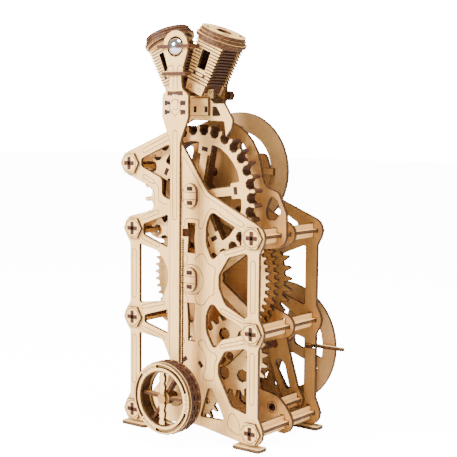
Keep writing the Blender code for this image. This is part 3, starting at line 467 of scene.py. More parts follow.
def plywood(name, face, grain, edge, normal=(0, 1, 0), along=(900, 900, 35), seed=0.0):
    """Plywood with its own face, grain and edge colours, for a sheet that looks along normal."""
    surface, nodes, links, shader = new_surface(name)
    group = nodes.new("ShaderNodeGroup")
    group.node_tree = bpy.data.node_groups.get("laser_cut_plywood") or wood_group()
    group.inputs["Sheet Normal"].default_value = Vector(normal).normalized()
    group.inputs["Grain Scale"].default_value = along
    group.inputs["Seed"].default_value = seed
    for socket, colour in (("Face", face), ("Grain", grain), ("Edge", edge)):
        group.inputs[socket].default_value = srgb(colour)
    bump = nodes.new("ShaderNodeBump")
    bump.inputs["Strength"].default_value = 0.25
    bump.inputs["Distance"].default_value = 0.0001
    links.new(group.outputs["Color"], shader.inputs["Base Color"])
    links.new(group.outputs["Roughness"], shader.inputs["Roughness"])
    links.new(group.outputs["Height"], bump.inputs["Height"])
    links.new(bump.outputs["Normal"], shader.inputs["Normal"])
    shader.inputs["Specular IOR Level"].default_value = 0.25
    surface.diffuse_color = srgb(face)
    return surface


def burnt(name, colour, light, scale=300.0):
    """Scorched wood, blotched between two browns."""
    surface, nodes, links, shader = new_surface(name)
    place = nodes.new("ShaderNodeTexCoord")
    noise = nodes.new("ShaderNodeTexNoise")
    noise.inputs["Scale"].default_value = scale
    noise.inputs["Detail"].default_value = 3.0
    ramp = nodes.new("ShaderNodeValToRGB")
    ramp.color_ramp.elements[0].position = 0.38
    ramp.color_ramp.elements[0].color = srgb(colour)
    ramp.color_ramp.elements[1].position = 0.66
    ramp.color_ramp.elements[1].color = srgb(light)
    links.new(place.outputs["Object"], noise.inputs["Vector"])
    links.new(noise.outputs["Fac"], ramp.inputs["Fac"])
    links.new(ramp.outputs["Color"], shader.inputs["Base Color"])
    shader.inputs["Roughness"].default_value = 0.6
    shader.inputs["Specular IOR Level"].default_value = 0.25
    surface.diffuse_color = srgb(colour)
    return surface


def surfaces():
    """Every surface by name, made once."""
    if "birch" in bpy.data.materials:
        return bpy.data.materials
    colours = bpy.context.scene.kit_colours
    # inner is painted shade, the face's birch darkened for the dim light inside the kit; every surface below
    # that takes it or its grain carries that painted shade.
    face, grain, inner = tuple(colours.face), tuple(colours.grain), tuple(colours.inner)
    board, edge, cover = tuple(colours.board), tuple(colours.edge), tuple(colours.cover)
    painted_shade_grain = tuple(0.72 * value for value in inner)
    board_grain = tuple(0.86 * value for value in board)
    lean = math.radians(LEAN)
    plywood("birch", face, grain, edge)
    plywood("birch_lying", face, grain, edge, (0, 0, 1), (900, 60, 900), 3.0)
    plywood("birch_upright", face, grain, edge, (1, 0, 0), (900, 60, 900), 5.0)
    plywood("inner_birch", inner, painted_shade_grain, edge, seed=7.0)
    plywood("gear_birch", face, grain, edge, along=(35, 900, 900), seed=9.0)
    plywood("inner_gear_birch", inner, painted_shade_grain, edge, along=(35, 900, 900), seed=11.0)
    plywood("flywheel_board", board, board_grain, edge, along=(250, 250, 250), seed=13.0)
    plywood("shaded_lying", inner, painted_shade_grain, cover, (0, 0, 1), (60, 900, 900), 15.0)
    plywood("blade_lying", inner, painted_shade_grain, edge, (0, 0, 1), (60, 900, 900), 16.0)
    # The rear pocket wheel takes painted shade: the darker inner colour for the shade behind the front wheel.
    plywood("pocket_stack", inner, painted_shade_grain, cover, along=(35, 900, 900), seed=21.0)
    plywood("cover_left", face, grain, cover, (-math.sin(lean), 0, math.cos(lean)), (60, 900, 900), 17.0)
    plywood("cover_right", face, grain, cover, (math.sin(lean), 0, math.cos(lean)), (60, 900, 900), 19.0)
    burnt("scorched", tuple(colours.char), edge)
    burnt("burnt_edge", edge, tuple(2.2 * value for value in edge))
    burnt("tyre_edge", tuple(colours.tyre), tuple(2.0 * value for value in colours.tyre), 160.0)
    burnt("engraved", tuple(0.8 * value for value in edge), tuple(2.6 * value for value in edge))
    _, nodes, links, shader = new_surface("polished_steel")
    noise = nodes.new("ShaderNodeTexNoise")
    noise.inputs["Scale"].default_value = 90.0
    rough = nodes.new("ShaderNodeMapRange")
    rough.inputs["To Min"].default_value = 0.10
    rough.inputs["To Max"].default_value = 0.24
    links.new(noise.outputs["Fac"], rough.inputs["Value"])
    links.new(rough.outputs["Result"], shader.inputs["Roughness"])
    shader.inputs["Base Color"].default_value = srgb(tuple(colours.steel))
    shader.inputs["Metallic"].default_value = 1.0
    return bpy.data.materials


def paint(names, surface):
    """Give CAD nodes a surface in place of their plain colour."""
    for name in names:
        slots = NODES[name].data.materials
        for i in range(len(slots)):
            slots[i] = surface


# Nodes that keep their shape, by surface
# Surfaces made from the inner colour carry painted shade for the dim light inside the kit.
KEPT = {
    "birch": ("front_plate", "fork_rail", "upper_axle_cap", "lower_axle_cap"),
    "inner_birch": ("upper_bearing_plate", "middle_plate", "back_plate", "inner_bracket", "swing_plate",
                    "crankcase"),
    "gear_birch": ("pocket_wheel_front", "main_gear_front", "idler_gear", "toothed_wheel"),
    "pocket_stack": ("pocket_wheel_rear",),
    "inner_gear_birch": ("main_gear_rear", "coarse_wheel", "drive_pinion", "idler_pinion",
                         "pocket_pinion", "ring_pinion", "flywheel_spider", "crank_disc"),
    "flywheel_board": ("ring_flywheel", "lower_flywheel"),
    "birch_lying": ("front_left_foot", "front_right_foot", "rear_left_foot", "rear_right_foot", "stop_bar"),
    "shaded_lying": ("rail_bridge", "handlebar_plate", "yoke_plate"),
    "burnt_edge": ("swing_pin", "cord_block", "drive_axle", "idler_axle", "main_axle", "pocket_axle",
                   "ring_axle", "crankshaft", "left_piston", "right_piston"),
    "polished_steel": ("lamp_ball",),
}
BODY_OF = {node: body for body, members in frame["record"]["behaviour"]["bodies"].items() for node in members}
SCORCHED = ("front_plate", "fork_rail", "upper_axle_cap", "lower_axle_cap", "upper_bearing_plate",
            "middle_plate", "back_plate", "inner_bracket", "swing_plate", "crankcase", "pocket_wheel_front",
            "pocket_wheel_rear", "main_gear_front", "main_gear_rear", "coarse_wheel", "idler_gear",
            "toothed_wheel", "ring_flywheel", "lower_flywheel", "flywheel_spider")


class KIT_OT_plywood(Operator):
    """Give the plates, gears and axles their plywood, and scorch the rims of their cuts"""

    bl_idname = "kit.plywood"
    bl_label = "Plywood"

    def execute(self, context):
        looks = surfaces()
        for surface, names in KEPT.items():
            paint(names, looks[surface])
        width = context.scene.kit_sizes.rim
        for node in SCORCHED:
            front = scorch(node, Vector((0, -1, 0)), looks["scorched"], width)
            rear = scorch(node, Vector((0, 1, 0)), looks["scorched"], width)
            mesh = bpy.data.meshes.new("rear")
            rear.bm.to_mesh(mesh)
            rear.bm.free()
            front.bm.from_mesh(mesh)
            bpy.data.meshes.remove(mesh)
            front.finish(BODY_OF[node], node)
        return {"FINISHED"}


FRONT_GROOVES = (
    ((39, 159.3), (59, 165.6), 3.4), ((35.5, 107.2), (59.5, 99.6), 3.4), ((35.5, 74.2), (60, 81.4), 3.4),
    ((-58.5, 167), (-40, 160.6), 3.4), ((-58.5, 100.4), (-34, 106.8), 3.4), ((-58.5, 80), (-33.5, 73.4), 3.4),
    ((-57, 248.6), (-27, 261.6), 4.0), ((-57.5, 185.5), (-41, 191.8), 3.6), ((-57, 224.5), (-46, 219.6), 3.6))
FRONT_CURVES = (
    ((-16.5, 151), (-14, 154.5), (-10, 156.5), (-6, 154), (-4, 150.5), (-6, 147), (-10, 144.2),
     (-12.5, 142.5)),
    ((4, 149.5), (6, 153), (11, 156.5), (15, 155.5), (18, 150.5), (21, 147.5), (26, 146), (28.3, 142),
     (26.8, 136), (26.6, 125), (25.5, 120.5), (21, 118), (18, 114), (15, 110.5), (11, 109.4), (7, 111),
     (4.5, 115), (6, 118), (9, 120.5)),
    ((-12, 120.5), (-7, 118), (-4, 114.5), (-5, 111), (-9, 109), (-13, 111), (-16.5, 114.5)),
    ((-17, 72), (-14.5, 75.5), (-10, 77), (-7.6, 74.5), (-8.4, 71.5), (-12.5, 68), (-15.5, 62), (-16, 56)))
FRONT_SHAPES = (
    ((9, 73), (10, 76), (13.5, 77.5), (17, 75.8), (19, 71.5), (23, 68), (28, 66.4), (30.3, 62.5), (27.8, 57),
     (27.4, 45), (25, 41.2), (17.5, 40.6), (14.6, 44), (17, 51), (17.6, 58), (15, 66)),
    ((43, 4), (45, 12), (48, 14.4), (52, 12.5), (56.5, 5), (57, -3.5), (52, -3.4), (45, 0)))
MAST_CONTOUR = (
    (-11, 183), (-11, 238), (-9.5, 243), (-7, 241), (15, 211.5), (19, 208.5), (57, 188.5), (58.6, 185.6),
    (55.6, 184), (36, 192.3), (29, 197), (23, 198.4), (18.4, 194), (15, 186), (12.6, 180), (9.4, 179.6),
    (8, 183), (8, 187.5), (-7, 187.5), (-7.4, 182), (-9.4, 180))
LEFT_BEND = (
    (-44, 219), (-40.5, 216.5), (-39.5, 212), (-39.5, 205), (-36, 200.6), (-29, 199.5))


class KIT_OT_engraving(Operator):
    """Engrave grooves, circles and soft ornament on the front plate, the rail and the caps"""

    bl_idname = "kit.engraving"
    bl_label = "Engraving"

    def execute(self, context):
        looks = surfaces()
        sizes = context.scene.kit_sizes
        width, ink = sizes.engraved, looks["engraved"]
        y = node_y("front_plate")
        plate = Piece("front_plate_engraving")
        for side in (-1, 1):
            for low, high in ((28, 70), (110.5, 152.5)):
                plate.line(capsule((side * BAR_X, low), (side * BAR_X, high), 5), y, width, ink)
        for start, end, wide in FRONT_GROOVES:
            plate.line(capsule(start, end, wide, 4), y, width, ink)
        for curve in FRONT_CURVES:
            plate.line(smooth(curve, False), y, width, ink, closed=False)
        for shape in FRONT_SHAPES:
            plate.line(smooth(shape), y, width, ink)
        plate.line(smooth(MAST_CONTOUR, steps=2), y, width, ink)
        plate.line(smooth(LEFT_BEND, False), y, width, ink, closed=False)
        plate.line(circle(14, MAIN, 40), y, width, ink)
        plate.finish("frame", "front_plate")
        rail = Piece("fork_rail_engraving")
        y = node_y("fork_rail")
        rail.line(capsule((0, 191), (0, 266), 4.8), y, width, ink)
        rail.line(arc(6.2, -50, 230, (0, 289.5), 20), y, width, ink, closed=False)
        rail.line([(-4, 284.8), (0, 280.6), (4, 284.8)], y, width, ink, closed=False)
        rail.line([(3, 296), (3, 287), (-2.5, 287)], y, width, ink, closed=False)
        for side in (-1, 1):
            shoulder = [(10.2, 321.5), (8, 324.6), (5, 325.6), (2.6, 323.6), (2.3, 318)]
            points = smooth(shoulder, False)
            rail.line(points if side > 0 else mirrored(points), y, width, ink, closed=False)
            rail.line([(2.4 * side, 305), (2.4 * side, 318)], y, width, ink, closed=False)
        rail.finish("frame", "fork_rail")
        for name, centre in (("upper_axle_cap", POCKET), ("lower_axle_cap", MAIN)):
            cap = Piece(name + "_engraving")
            y = node_y(name) + sizes.proud
            for side in (-1, 1):
                middle = 90 - 90 * side
                cap.line(arc(9.4, middle - 38, middle + 38, centre, 10), y, width, ink, closed=False)
                z = centre[1] + 3.2 * side
                cap.line([(centre[0] - 7.2, z), (centre[0] + 7.2, z)], y, width, ink, closed=False)
                peg = (centre[0], centre[1] + 6.5 * side)
                cap.slab([box(peg[0] - 2.9, peg[0] + 2.9, peg[1] - 1.6, peg[1] + 1.6)], y - 0.5, 1.5,
                         looks["scorched"])
                for half in (-1, 1):
                    cap.line([(peg[0] + 0.3 * half, peg[1]), (peg[0] + 2.6 * half, peg[1])], y - 0.5, 0.3,
                             looks["burnt_edge"], closed=False)
            cap.finish("frame", name)
        return {"FINISHED"}


class KIT_OT_tie_bars(Operator):
    """Make the crossed blades of every tie bar with its hex caps"""

    bl_idname = "kit.tie_bars"
    bl_label = "Tie bars"

    def execute(self, context):
        looks = surfaces()
        sizes = context.scene.kit_sizes
        for node in BAR_NODES:
            centre = node_middle(node)
            front, back = node_y(node), node_y(node, 1)
            bar = Piece(node + "_blades")
            thick, half = SHEET - FIT, HALF_BLADE
            for upright in (True, False):
                surface = looks["birch_upright"] if upright else looks["birch_lying"]
                place = Matrix.Translation((centre[0], 0, centre[1]))
                if not upright:
                    place = place @ Matrix.Rotation(math.pi / 2, 4, "Y")
                middle = BAR_MIDDLES[node]
                first, last = front + thick + SHEET + FIT, back - thick - SHEET - FIT
                runs = [(-half + 1.3, front - sizes.proud, first), (-half, first, middle - FIT),
                        (-half + 0.9, middle - FIT, middle + SHEET + FIT),
                        (-half, middle + SHEET + FIT, last),
                        (-half + 1.3, last, back + sizes.proud)]
                points = [(y, low) for low, start, end in runs for y in (start, end)]
                loop = points + [(y, -low) for y, low in reversed(points)]
                bar.slab([loop], -SHEET / 2, SHEET, surface, place @ Matrix.Rotation(math.pi / 2, 4, "Z"))
            for y, sign in ((front, -1), (back - thick, 1)):
                hexagon = circle(CAP_RADIUS, centre, 6)
                bar.slab([hexagon, cross(centre, 0.02)], y, thick, looks["birch"])
                turn = Matrix() if sign < 0 else behind(centre[0])
                level = front if sign < 0 else -back
                bar.line(circle(8.3, centre, 28), level, sizes.engraved + 0.15, looks["burnt_edge"],
                         place=turn)
                bar.line(circle(CAP_RADIUS - 0.1, centre, 6), level, sizes.rim, looks["scorched"],
                         place=turn, shift=0.1)
                ends = level - sizes.proud - 0.05
                for degrees in (0, 90):
                    bar.slab([turned_box(centre, 11.6, SHEET + 0.5, degrees)], ends, 0.3,
                             looks["burnt_edge"], turn)
                for k in range(4):
                    bar.line(turned_box(polar(3.7, 90 * k, centre), 4.2, SHEET + 0.3, 90 * k), ends, 0.45,
                             looks["scorched"], place=turn)
                    bar.line([polar(2.2, 90 * k, centre), polar(5.2, 90 * k, centre)], ends, 0.5,
                             looks["scorched"], closed=False, place=turn)
            bar.finish("frame", node, node)
        return {"FINISHED"}


def cross(centre, gap):
    """The crossed-blade hole of a cap."""
    arm, half = 5.1 + gap, SHEET / 2 + gap
    corner = [(arm, -half), (arm, half), (half, half)]
    loop = []
    for turn in range(4):
        c, s = math.cos(turn * math.pi / 2), math.sin(turn * math.pi / 2)
        loop += [(centre[0] + x * c - z * s, centre[1] + x * s + z * c) for x, z in corner]
    return loop


BAR_MIDDLES = {node: node_y("middle_plate") for node in BAR_NODES}
BAR_MIDDLES["top_left_tie_bar"] = 22.0
BAR_MIDDLES["high_left_tie_bar"] = BAR_MIDDLES["high_right_tie_bar"] = node_y("upper_bearing_plate")


class KIT_OT_swing_pin(Operator):
    """Make the swing plate's pin: crossed blades, and its crossed end on the middle plate"""

    bl_idname = "kit.swing_pin"
    bl_label = "Swing pin"

    def execute(self, context):
        looks = surfaces()
        pin = Piece("swing_pin_blades")
        start, end = node_y("middle_plate", 1) + FIT, node_y("swing_plate") - FIT
        place = Matrix.Translation((SWING[0], 0, SWING[1]))
        for degrees, surface in ((0, "birch_lying"), (90, "birch_upright")):
            turn = place @ Matrix.Rotation(math.radians(degrees), 4, "Y")
            pin.slab([box(-HALF_BLADE, HALF_BLADE, -1.45, 1.45)], start, end - start, looks[surface], turn)
            for low, high in ((node_y("middle_plate") - 0.6, start), (end, node_y("back_plate", 1) + 0.6)):
                pin.slab([box(-3.1, 3.1, -1.4, 1.4)], low, high - low, looks["burnt_edge"], turn)
        level = node_y("middle_plate")
        pin.line(circle(5.4, SWING, 24), level, 0.6, looks["burnt_edge"])
        for degrees in (0, 90):
            pin.slab([turned_box(SWING, 6.8, 2.9, degrees)], level - 0.75, 0.3, looks["scorched"])
        pin.finish("frame", "swing_pin", "swing_pin")
        return {"FINISHED"}


class KIT_OT_case(Operator):
    """Make the pale box in front of the crankcase, its tabs and the nut at its side"""

    bl_idname = "kit.case"
    bl_label = "Crankcase front"

    def execute(self, context):
        looks = surfaces()
        front = node_y("front_plate")
        case = Piece("case_front")
        slots = [turned_box((6.2, 287.2), 2.6, 4.6, 0), turned_box((18.6, 287.2), 2.6, 4.6, 0)]
        edge = box(-0.5, 21, 281.4, 297.2)
        case.slab([edge] + slots, front - SHEET - 0.2, SHEET, looks["birch"])
        case.line(edge, front - SHEET - 0.2, 0.36, looks["scorched"], shift=0.2)
        for slot in slots:
            case.slab([slot], front - SHEET + 0.4, 1.5, looks["scorched"])
            case.line(slot, front - SHEET - 0.2, 0.36, looks["scorched"], shift=-0.2)
        lift = Matrix.Translation((0, 0, 299.4)) @ LYING
        case.slab([box(2, 9.5, -5.5, 3)], 0, SHEET, looks["shaded_lying"], lift)
        case.slab([box(13, 24.2, 297, 305)], front - 0.2, SHEET, looks["birch"])
        case.line(circle(1.3, (16.5, 300.5), 10), front - 0.2, 0.5, looks["burnt_edge"])
        case.line(circle(1.3, (21, 302.5), 10), front - 0.2, 0.5, looks["burnt_edge"])
        for i in range(3):
            case.slab([circle(4.8 - 0.7 * (i % 2), (21.5, 299.8), 6)],
                      node_y("crankcase", 1) + 0.1 + 2.2 * i, 2.0, looks["burnt_edge"])
        case.finish("frame", "crankcase")
        return {"FINISHED"}


class KIT_OT_pegs(Operator):
    """Make the dark tab ends that show in the slots, and the pegs of the pocket wheel"""

    bl_idname = "kit.pegs"
    bl_label = "Pegs and tabs"

    def execute(self, context):
        looks = surfaces()
        proud = context.scene.kit_sizes.proud
        y = node_y("front_plate")
        tabs = Piece("front_plate_tabs")
        for centre, wide, high, turn in (((11.5, 54.5), 5.4, 3.1, -50), ((-7.2, 57.0), 5.4, 3.1, 35)):
            tabs.slab([turned_box(centre, wide, high, turn)], y - proud, SHEET, looks["scorched"])
        tabs.finish("frame", "front_plate")
        y = node_y("fork_rail")
        squares = Piece("rail_tabs")
        for x in (-9, 9):
            for z in (284.5, 292.5):
                squares.slab([box(x - 2.6, x + 2.6, z - 1.7, z + 1.7)], y - proud, SHEET + 2,
                             looks["scorched"])
        squares.finish("frame", "fork_rail")
        pegs = Piece("pocket_wheel_pegs")
        front, back = node_y("pocket_wheel_front"), node_y("pocket_wheel_rear", 1)
        for i in range(5):
            degrees = 72 * i + 8
            pegs.slab([turned_box(polar(PEG_CIRCLE, degrees, POCKET), 3.1, 6.1, degrees)], front - proud,
                      back - front - SHEET - FIT + proud, looks["scorched"])
        pegs.finish("pocket", "pocket_wheel_front")
        return {"FINISHED"}


class KIT_OT_wheel(Operator):
    """Make the front wheel's layered tyre and rims with their channels and ticks"""

    bl_idname = "kit.wheel"
    bl_label = "Front wheel"

    def execute(self, context):
        looks = surfaces()
        front, back = node_y("wheel_front_rim"), node_y("wheel_tyre", 1)
        rim = Piece("wheel_rims")
        for y in (front, back - SHEET):
            slots = [ring_part(CHANNEL_INNER, CHANNEL_OUTER, start, start + CHANNEL_SPAN, DRIVE)
                     for start in CHANNEL_STARTS]
            rim.slab([circle(RIM_RADIUS, DRIVE, 64), circle(RIM_HOLE, DRIVE, 56)] + slots, y, SHEET - 0.2,
                     looks["birch"])
            turn = Matrix() if y == front else behind(DRIVE[0])
            level = front if y == front else -(back - 0.2)
            for start in CHANNEL_STARTS:
                for k in range(9):
                    degrees = start + 88 + 28 * k / 8
                    inner = 27.6 + (k % 3) * 0.5
                    outer = 30.8 - (k % 2) * 0.8
                    rim.line([polar(inner, degrees, DRIVE), polar(outer, degrees, DRIVE)], level, 0.9,
                             looks["scorched"], closed=False, place=turn)
                edge = ring_part(CHANNEL_INNER - 0.1, CHANNEL_OUTER + 0.1, start, start + CHANNEL_SPAN, DRIVE)
                rim.line(edge, level, 0.3, looks["scorched"], place=turn)
            for radius, count in ((RIM_HOLE + 0.3, 56), (RIM_RADIUS - 0.2, 64)):
                rim.line(circle(radius, DRIVE, count), level, 0.35, looks["scorched"], place=turn)
        rim.finish("drive", "wheel_front_rim", "wheel_front_rim", "wheel_rear_rim")
        self.spokes(looks, front)
        tyre = Piece("tyre_layers")
        start, end = front + SHEET, back - SHEET
        pitch = (end - start) / TYRE_LAYERS
        for i in range(TYRE_LAYERS):
            points = []
            for k in range(96):
                lift = 0.9 if (k + 2 * i) % 4 < 1 else 0.0
                points.append(polar(TYRE_RADIUS - 0.5 * (i % 2) - lift, 3.75 * k, DRIVE))
            tyre.slab([points, circle(TYRE_HOLE, DRIVE, 48)], start + i * pitch, pitch - 0.15,
                      looks["tyre_edge"])
        for y in (start - 0.15, end - 0.35):
            tyre.slab([circle(33.0, DRIVE, 72), circle(TYRE_HOLE, DRIVE, 48)], y, 0.5, looks["birch"])
        tyre.slab([circle(31.9, DRIVE, 48), circle(26.6, DRIVE, 48)], start + 0.6, end - start - 1.2,
                  looks["tyre_edge"])
        tyre.finish("drive", "wheel_tyre", "wheel_tyre")
        return {"FINISHED"}

    def spokes(self, looks, front):
        """A wavy upright plate over thin lying and slanting blades, round a hub of stacked discs."""
        piece = Piece("wheel_blades")
        waves = [(3.0 + 0.7 * math.sin(2.1 * k), -24.3 + 48.6 * k / 18) for k in range(19)]
        upright = waves + mirrored(waves)
        upright = [(DRIVE[0] + x, DRIVE[1] + z) for x, z in upright]
        piece.slab([upright], front + 1.2, SHEET - 0.3, looks["birch"])
        piece.line(upright, front + 1.2, 0.4, looks["scorched"], shift=0.2)
        for degrees in (2, 58, 176, 238):
            blade = box(SPOKE_ROOT, SPOKE_REACH, -HALF_SPOKE, HALF_SPOKE)
            c, n = math.cos(math.radians(degrees)), math.sin(math.radians(degrees))
            loop = [(DRIVE[0] + x * c - z * n, DRIVE[1] + x * n + z * c) for x, z in blade]
            # The lying blades take painted shade: the darker inner colour on their faces.
            surface = looks["blade_lying" if degrees in (2, 176) else "burnt_edge"]
            piece.slab([loop], front + 4.4, 6.2, surface)
        # The hub discs take painted shade: the darker inner birch colour.
        for y, depth, radius in ((front + 0.4, 0.7, 4.4), (front + 4.0, 6.9, 6.3), (front + 13.8, 2.0, 5.6)):
            piece.slab([circle(radius, DRIVE, 24)], y, depth, looks["inner_birch"])
        piece.finish("drive", "wheel_spokes", "wheel_spokes")


def cylinder_place(side):
    return Matrix.Translation((0, 0, V_POINT)) @ Matrix.Rotation(math.radians(side * LEAN), 4, "Y")


def half_width(z):
    share = (z - CYLINDER_FOOT) / (CYLINDER_TOP - CYLINDER_FOOT)
    return 9.5 + 5.0 * share


class KIT_OT_engine(Operator):
    """Make the finned cylinders and their layered head covers"""

    bl_idname = "kit.engine"
    bl_label = "Engine"

    def execute(self, context):
        looks = surfaces()
        for side, name in ((-1, "left"), (1, "right")):
            place = cylinder_place(side)
            self.fins(looks, place, name)
            self.cover(looks, place, name)
        return {"FINISHED"}

    def fins(self, looks, place, name):
        """Front and rear plates with fins cut into their sides, and the walls between them."""
        front = ENGINE_Y - CYLINDER_DEPTH / 2
        back = ENGINE_Y + CYLINDER_DEPTH / 2 - SHEET
        piece = Piece(name + "_cylinder_fins")
        fins = CYLINDER_FOOT + FIN_START
        side_points = [(half_width(CYLINDER_FOOT), CYLINDER_FOOT), (half_width(fins), fins)]
        pitch = (CYLINDER_TOP - fins) / FIN_COUNT
        for i in range(FIN_COUNT):
            z = fins + i * pitch
            wide = half_width(z)
            side_points += [(wide - 1.2, z + 0.12 * pitch), (wide - 1.2, z + 0.42 * pitch),
                            (wide + 1.3, z + 0.5 * pitch), (wide + 1.3, z + 0.95 * pitch)]
        side_points.append((half_width(CYLINDER_TOP), CYLINDER_TOP))
        edge = side_points + mirrored(side_points)
        window = box(-4.6, 4.6, WINDOW_LOW, WINDOW_HIGH)
        for y in (front, back):
            piece.slab([edge, window], y, SHEET, looks["birch"], place)
        for wall in (-1, 1):
            foot, top = CYLINDER_FOOT + 2, CYLINDER_TOP - 0.5
            section = [(half_width(z) - inset, z)
                       for z, inset in ((foot, 3.4), (foot, 2.6), (top, 2.6), (top, 3.4))]
            piece.slab([section if wall > 0 else mirrored(section)], front + SHEET, back - front - SHEET,
                       looks["burnt_edge"], place)
            # The slats between the walls take painted shade: the darker inner birch colour.
            for i in range(FIN_COUNT):
                z = fins + (i + 0.55) * pitch
                wide = half_width(z)
                slat = box(wide - 2.7, wide - 0.6, z, z + 0.45 * pitch)
                piece.slab([slat if wall > 0 else mirrored(slat)], front + SHEET, back - front - SHEET,
                           looks["inner_birch"], place)
        for level, facing in ((front, place), (-(back + SHEET), place @ behind())):
            for i in range(FIN_COUNT):
                z = fins + (i + 0.27) * pitch
                wide = half_width(z) - 0.8
                beside_window = WINDOW_LOW - 1.5 < z < WINDOW_HIGH + 1.5
                spans = [(-wide, -5.4), (5.4, wide)] if beside_window else [(-wide, wide)]
                for x0, x1 in spans:
                    piece.line([(x0, z), (x1, z)], level, 1.0, looks["scorched"], closed=False, place=facing)
            piece.line(window, level, 0.4, looks["scorched"], place=facing)
            for x in (-5.5, 5.5):
                piece.line(circle(1.6, (x, CYLINDER_FOOT + 4), 12), level, 0.5, looks["burnt_edge"],
                           place=facing)
                piece.slab([box(x - 1.5, x + 1.5, 42, 44.6)], level - 0.06, 0.2, looks["scorched"], facing)
        piece.finish("frame", name + "_cylinder", name + "_cylinder")

    def cover(self, looks, place, name):
        """Stacked discs with red-brown edges, a pale top and a dark round opening."""
        piece = Piece(name + "_cover_layers")
        z = CYLINDER_TOP + FIT
        top_surface = looks["cover_left" if name == "left" else "cover_right"]
        for i, radius in enumerate(COVER_RADII):
            loops = [circle(radius, count=56)]
            if i == 3:
                loops.append(circle(COVER_HOLE, count=28))
            lift = place @ Matrix.Translation((0, ENGINE_Y, z + i * SHEET)) @ LYING
            piece.slab(loops, 0.12, SHEET - 0.24, top_surface, lift)
            if i < 3:
                piece.slab([circle(min(radius, COVER_RADII[i + 1]) - 1.6, count=40)], SHEET - 0.2, 0.4,
                           looks["scorched"], lift)
        upper = place @ Matrix.Translation((0, ENGINE_Y, 0)) @ Matrix.Rotation(-math.pi / 2, 4, "X")
        level = -(z + 4 * SHEET - 0.12)
        for radius in (9.2, 12.0, 18.4):
            piece.line(circle(radius, count=40), level, 0.5, looks["engraved"], place=upper)
        for k in range(4):
            piece.slab([turned_box(polar(15.2, 90 * k + 45), 6.5, 2.6, 90 * k + 135)], level - 0.15, 0.4,
                       looks["scorched"], upper)
        # Painted shade: a dark disc down in the top layer's hole stands for the shade inside the opening.
        piece.slab([circle(COVER_HOLE, count=28)], level + 2.2, 0.3, looks["scorched"], upper)
        for i, radius in enumerate(COVER_RADII):
            piece.line(circle(radius, count=56), -(z + (i + 1) * SHEET - 0.12), 0.4, looks["scorched"],
                       place=upper, shift=-0.25)
        piece.finish("frame", name + "_head_cover", name + "_head_cover")


CORD_FOOT = (5.2, -15.6, 46.0)
CORD_HEAD = (5.6, -15.9, 172.0)
CORD_RADIUS = 1.0


class KIT_OT_lamp(Operator):
    """Turn the polished ball in the lamp ring's hole, with a fine seam round its middle"""

    bl_idname = "kit.lamp"
    bl_label = "Lamp ball"

    def execute(self, context):
        low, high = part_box("lamp_ball")
        centre = ((low + high) / 2 - ORIGIN) / MM - Vector((0, BALL_FORWARD, 0))
        radius = (high.z - low.z) / 2 / MM
        ball = Piece("steel_ball")
        made = bmesh.ops.create_icosphere(ball.bm, subdivisions=4, radius=radius)
        faces = list({face for vert in made["verts"] for face in vert.link_faces})
        for vert in made["verts"]:
            vert.co *= 1 - 0.004 * math.exp(-(vert.co.z / 0.3) ** 2)
        ball.dress(faces, surfaces()["polished_steel"], Matrix.Translation(centre))
        for face in faces:
            face.smooth = True
        ball.finish("frame", "lamp_ball", "lamp_ball")
        return {"FINISHED"}


class KIT_OT_cord(Operator):
    """Twist the cord's two strands along its line beside the rail"""

    bl_idname = "kit.cord"
    bl_label = "Cord"

    def execute(self, context):
        looks = surfaces()
        foot, head = Vector(CORD_FOOT), Vector(CORD_HEAD)
        along = (head - foot).normalized()
        side = along.orthogonal().normalized()
        other = along.cross(side)
        piece = Piece("twisted_cord")
        steps, turns, sides, strand = 210, 30, 5, 0.55
        for k in range(2):
            rows = []
            for i in range(steps + 1):
                angle = 2 * math.pi * (turns * i / steps + k / 2)
                outward = side * math.cos(angle) + other * math.sin(angle)
                centre = foot.lerp(head, i / steps) + outward * (CORD_RADIUS - strand)
                across = along.cross(outward)
                ring = [outward * math.cos(a) + across * math.sin(a)
                        for a in (2 * math.pi * n / sides for n in range(sides))]
                rows.append([piece.bm.verts.new(centre + step * strand) for step in ring])
            faces = [piece.bm.faces.new((a[n], a[(n + 1) % sides], b[(n + 1) % sides], b[n]))
                     for a, b in zip(rows, rows[1:]) for n in range(sides)]
            faces += [piece.bm.faces.new(rows[0]), piece.bm.faces.new(reversed(rows[-1]))]
            piece.dress(faces, looks["scorched"], Matrix())
        made = piece.finish("frame", "cord", "cord")
        return {"FINISHED"}


def area_light(name, place, size, power, colour):
    data = bpy.data.lights.new(name, "AREA")
    data.shape = "DISK"
    data.size = size
    data.energy = power
    data.color = colour
    made = bpy.data.objects.new(name, data)
    made.location = place
    made.rotation_euler = (Vector(LIGHT_AIM) - Vector(place)).to_track_quat("-Z", "Y").to_euler()
    bpy.context.scene.collection.objects.link(made)


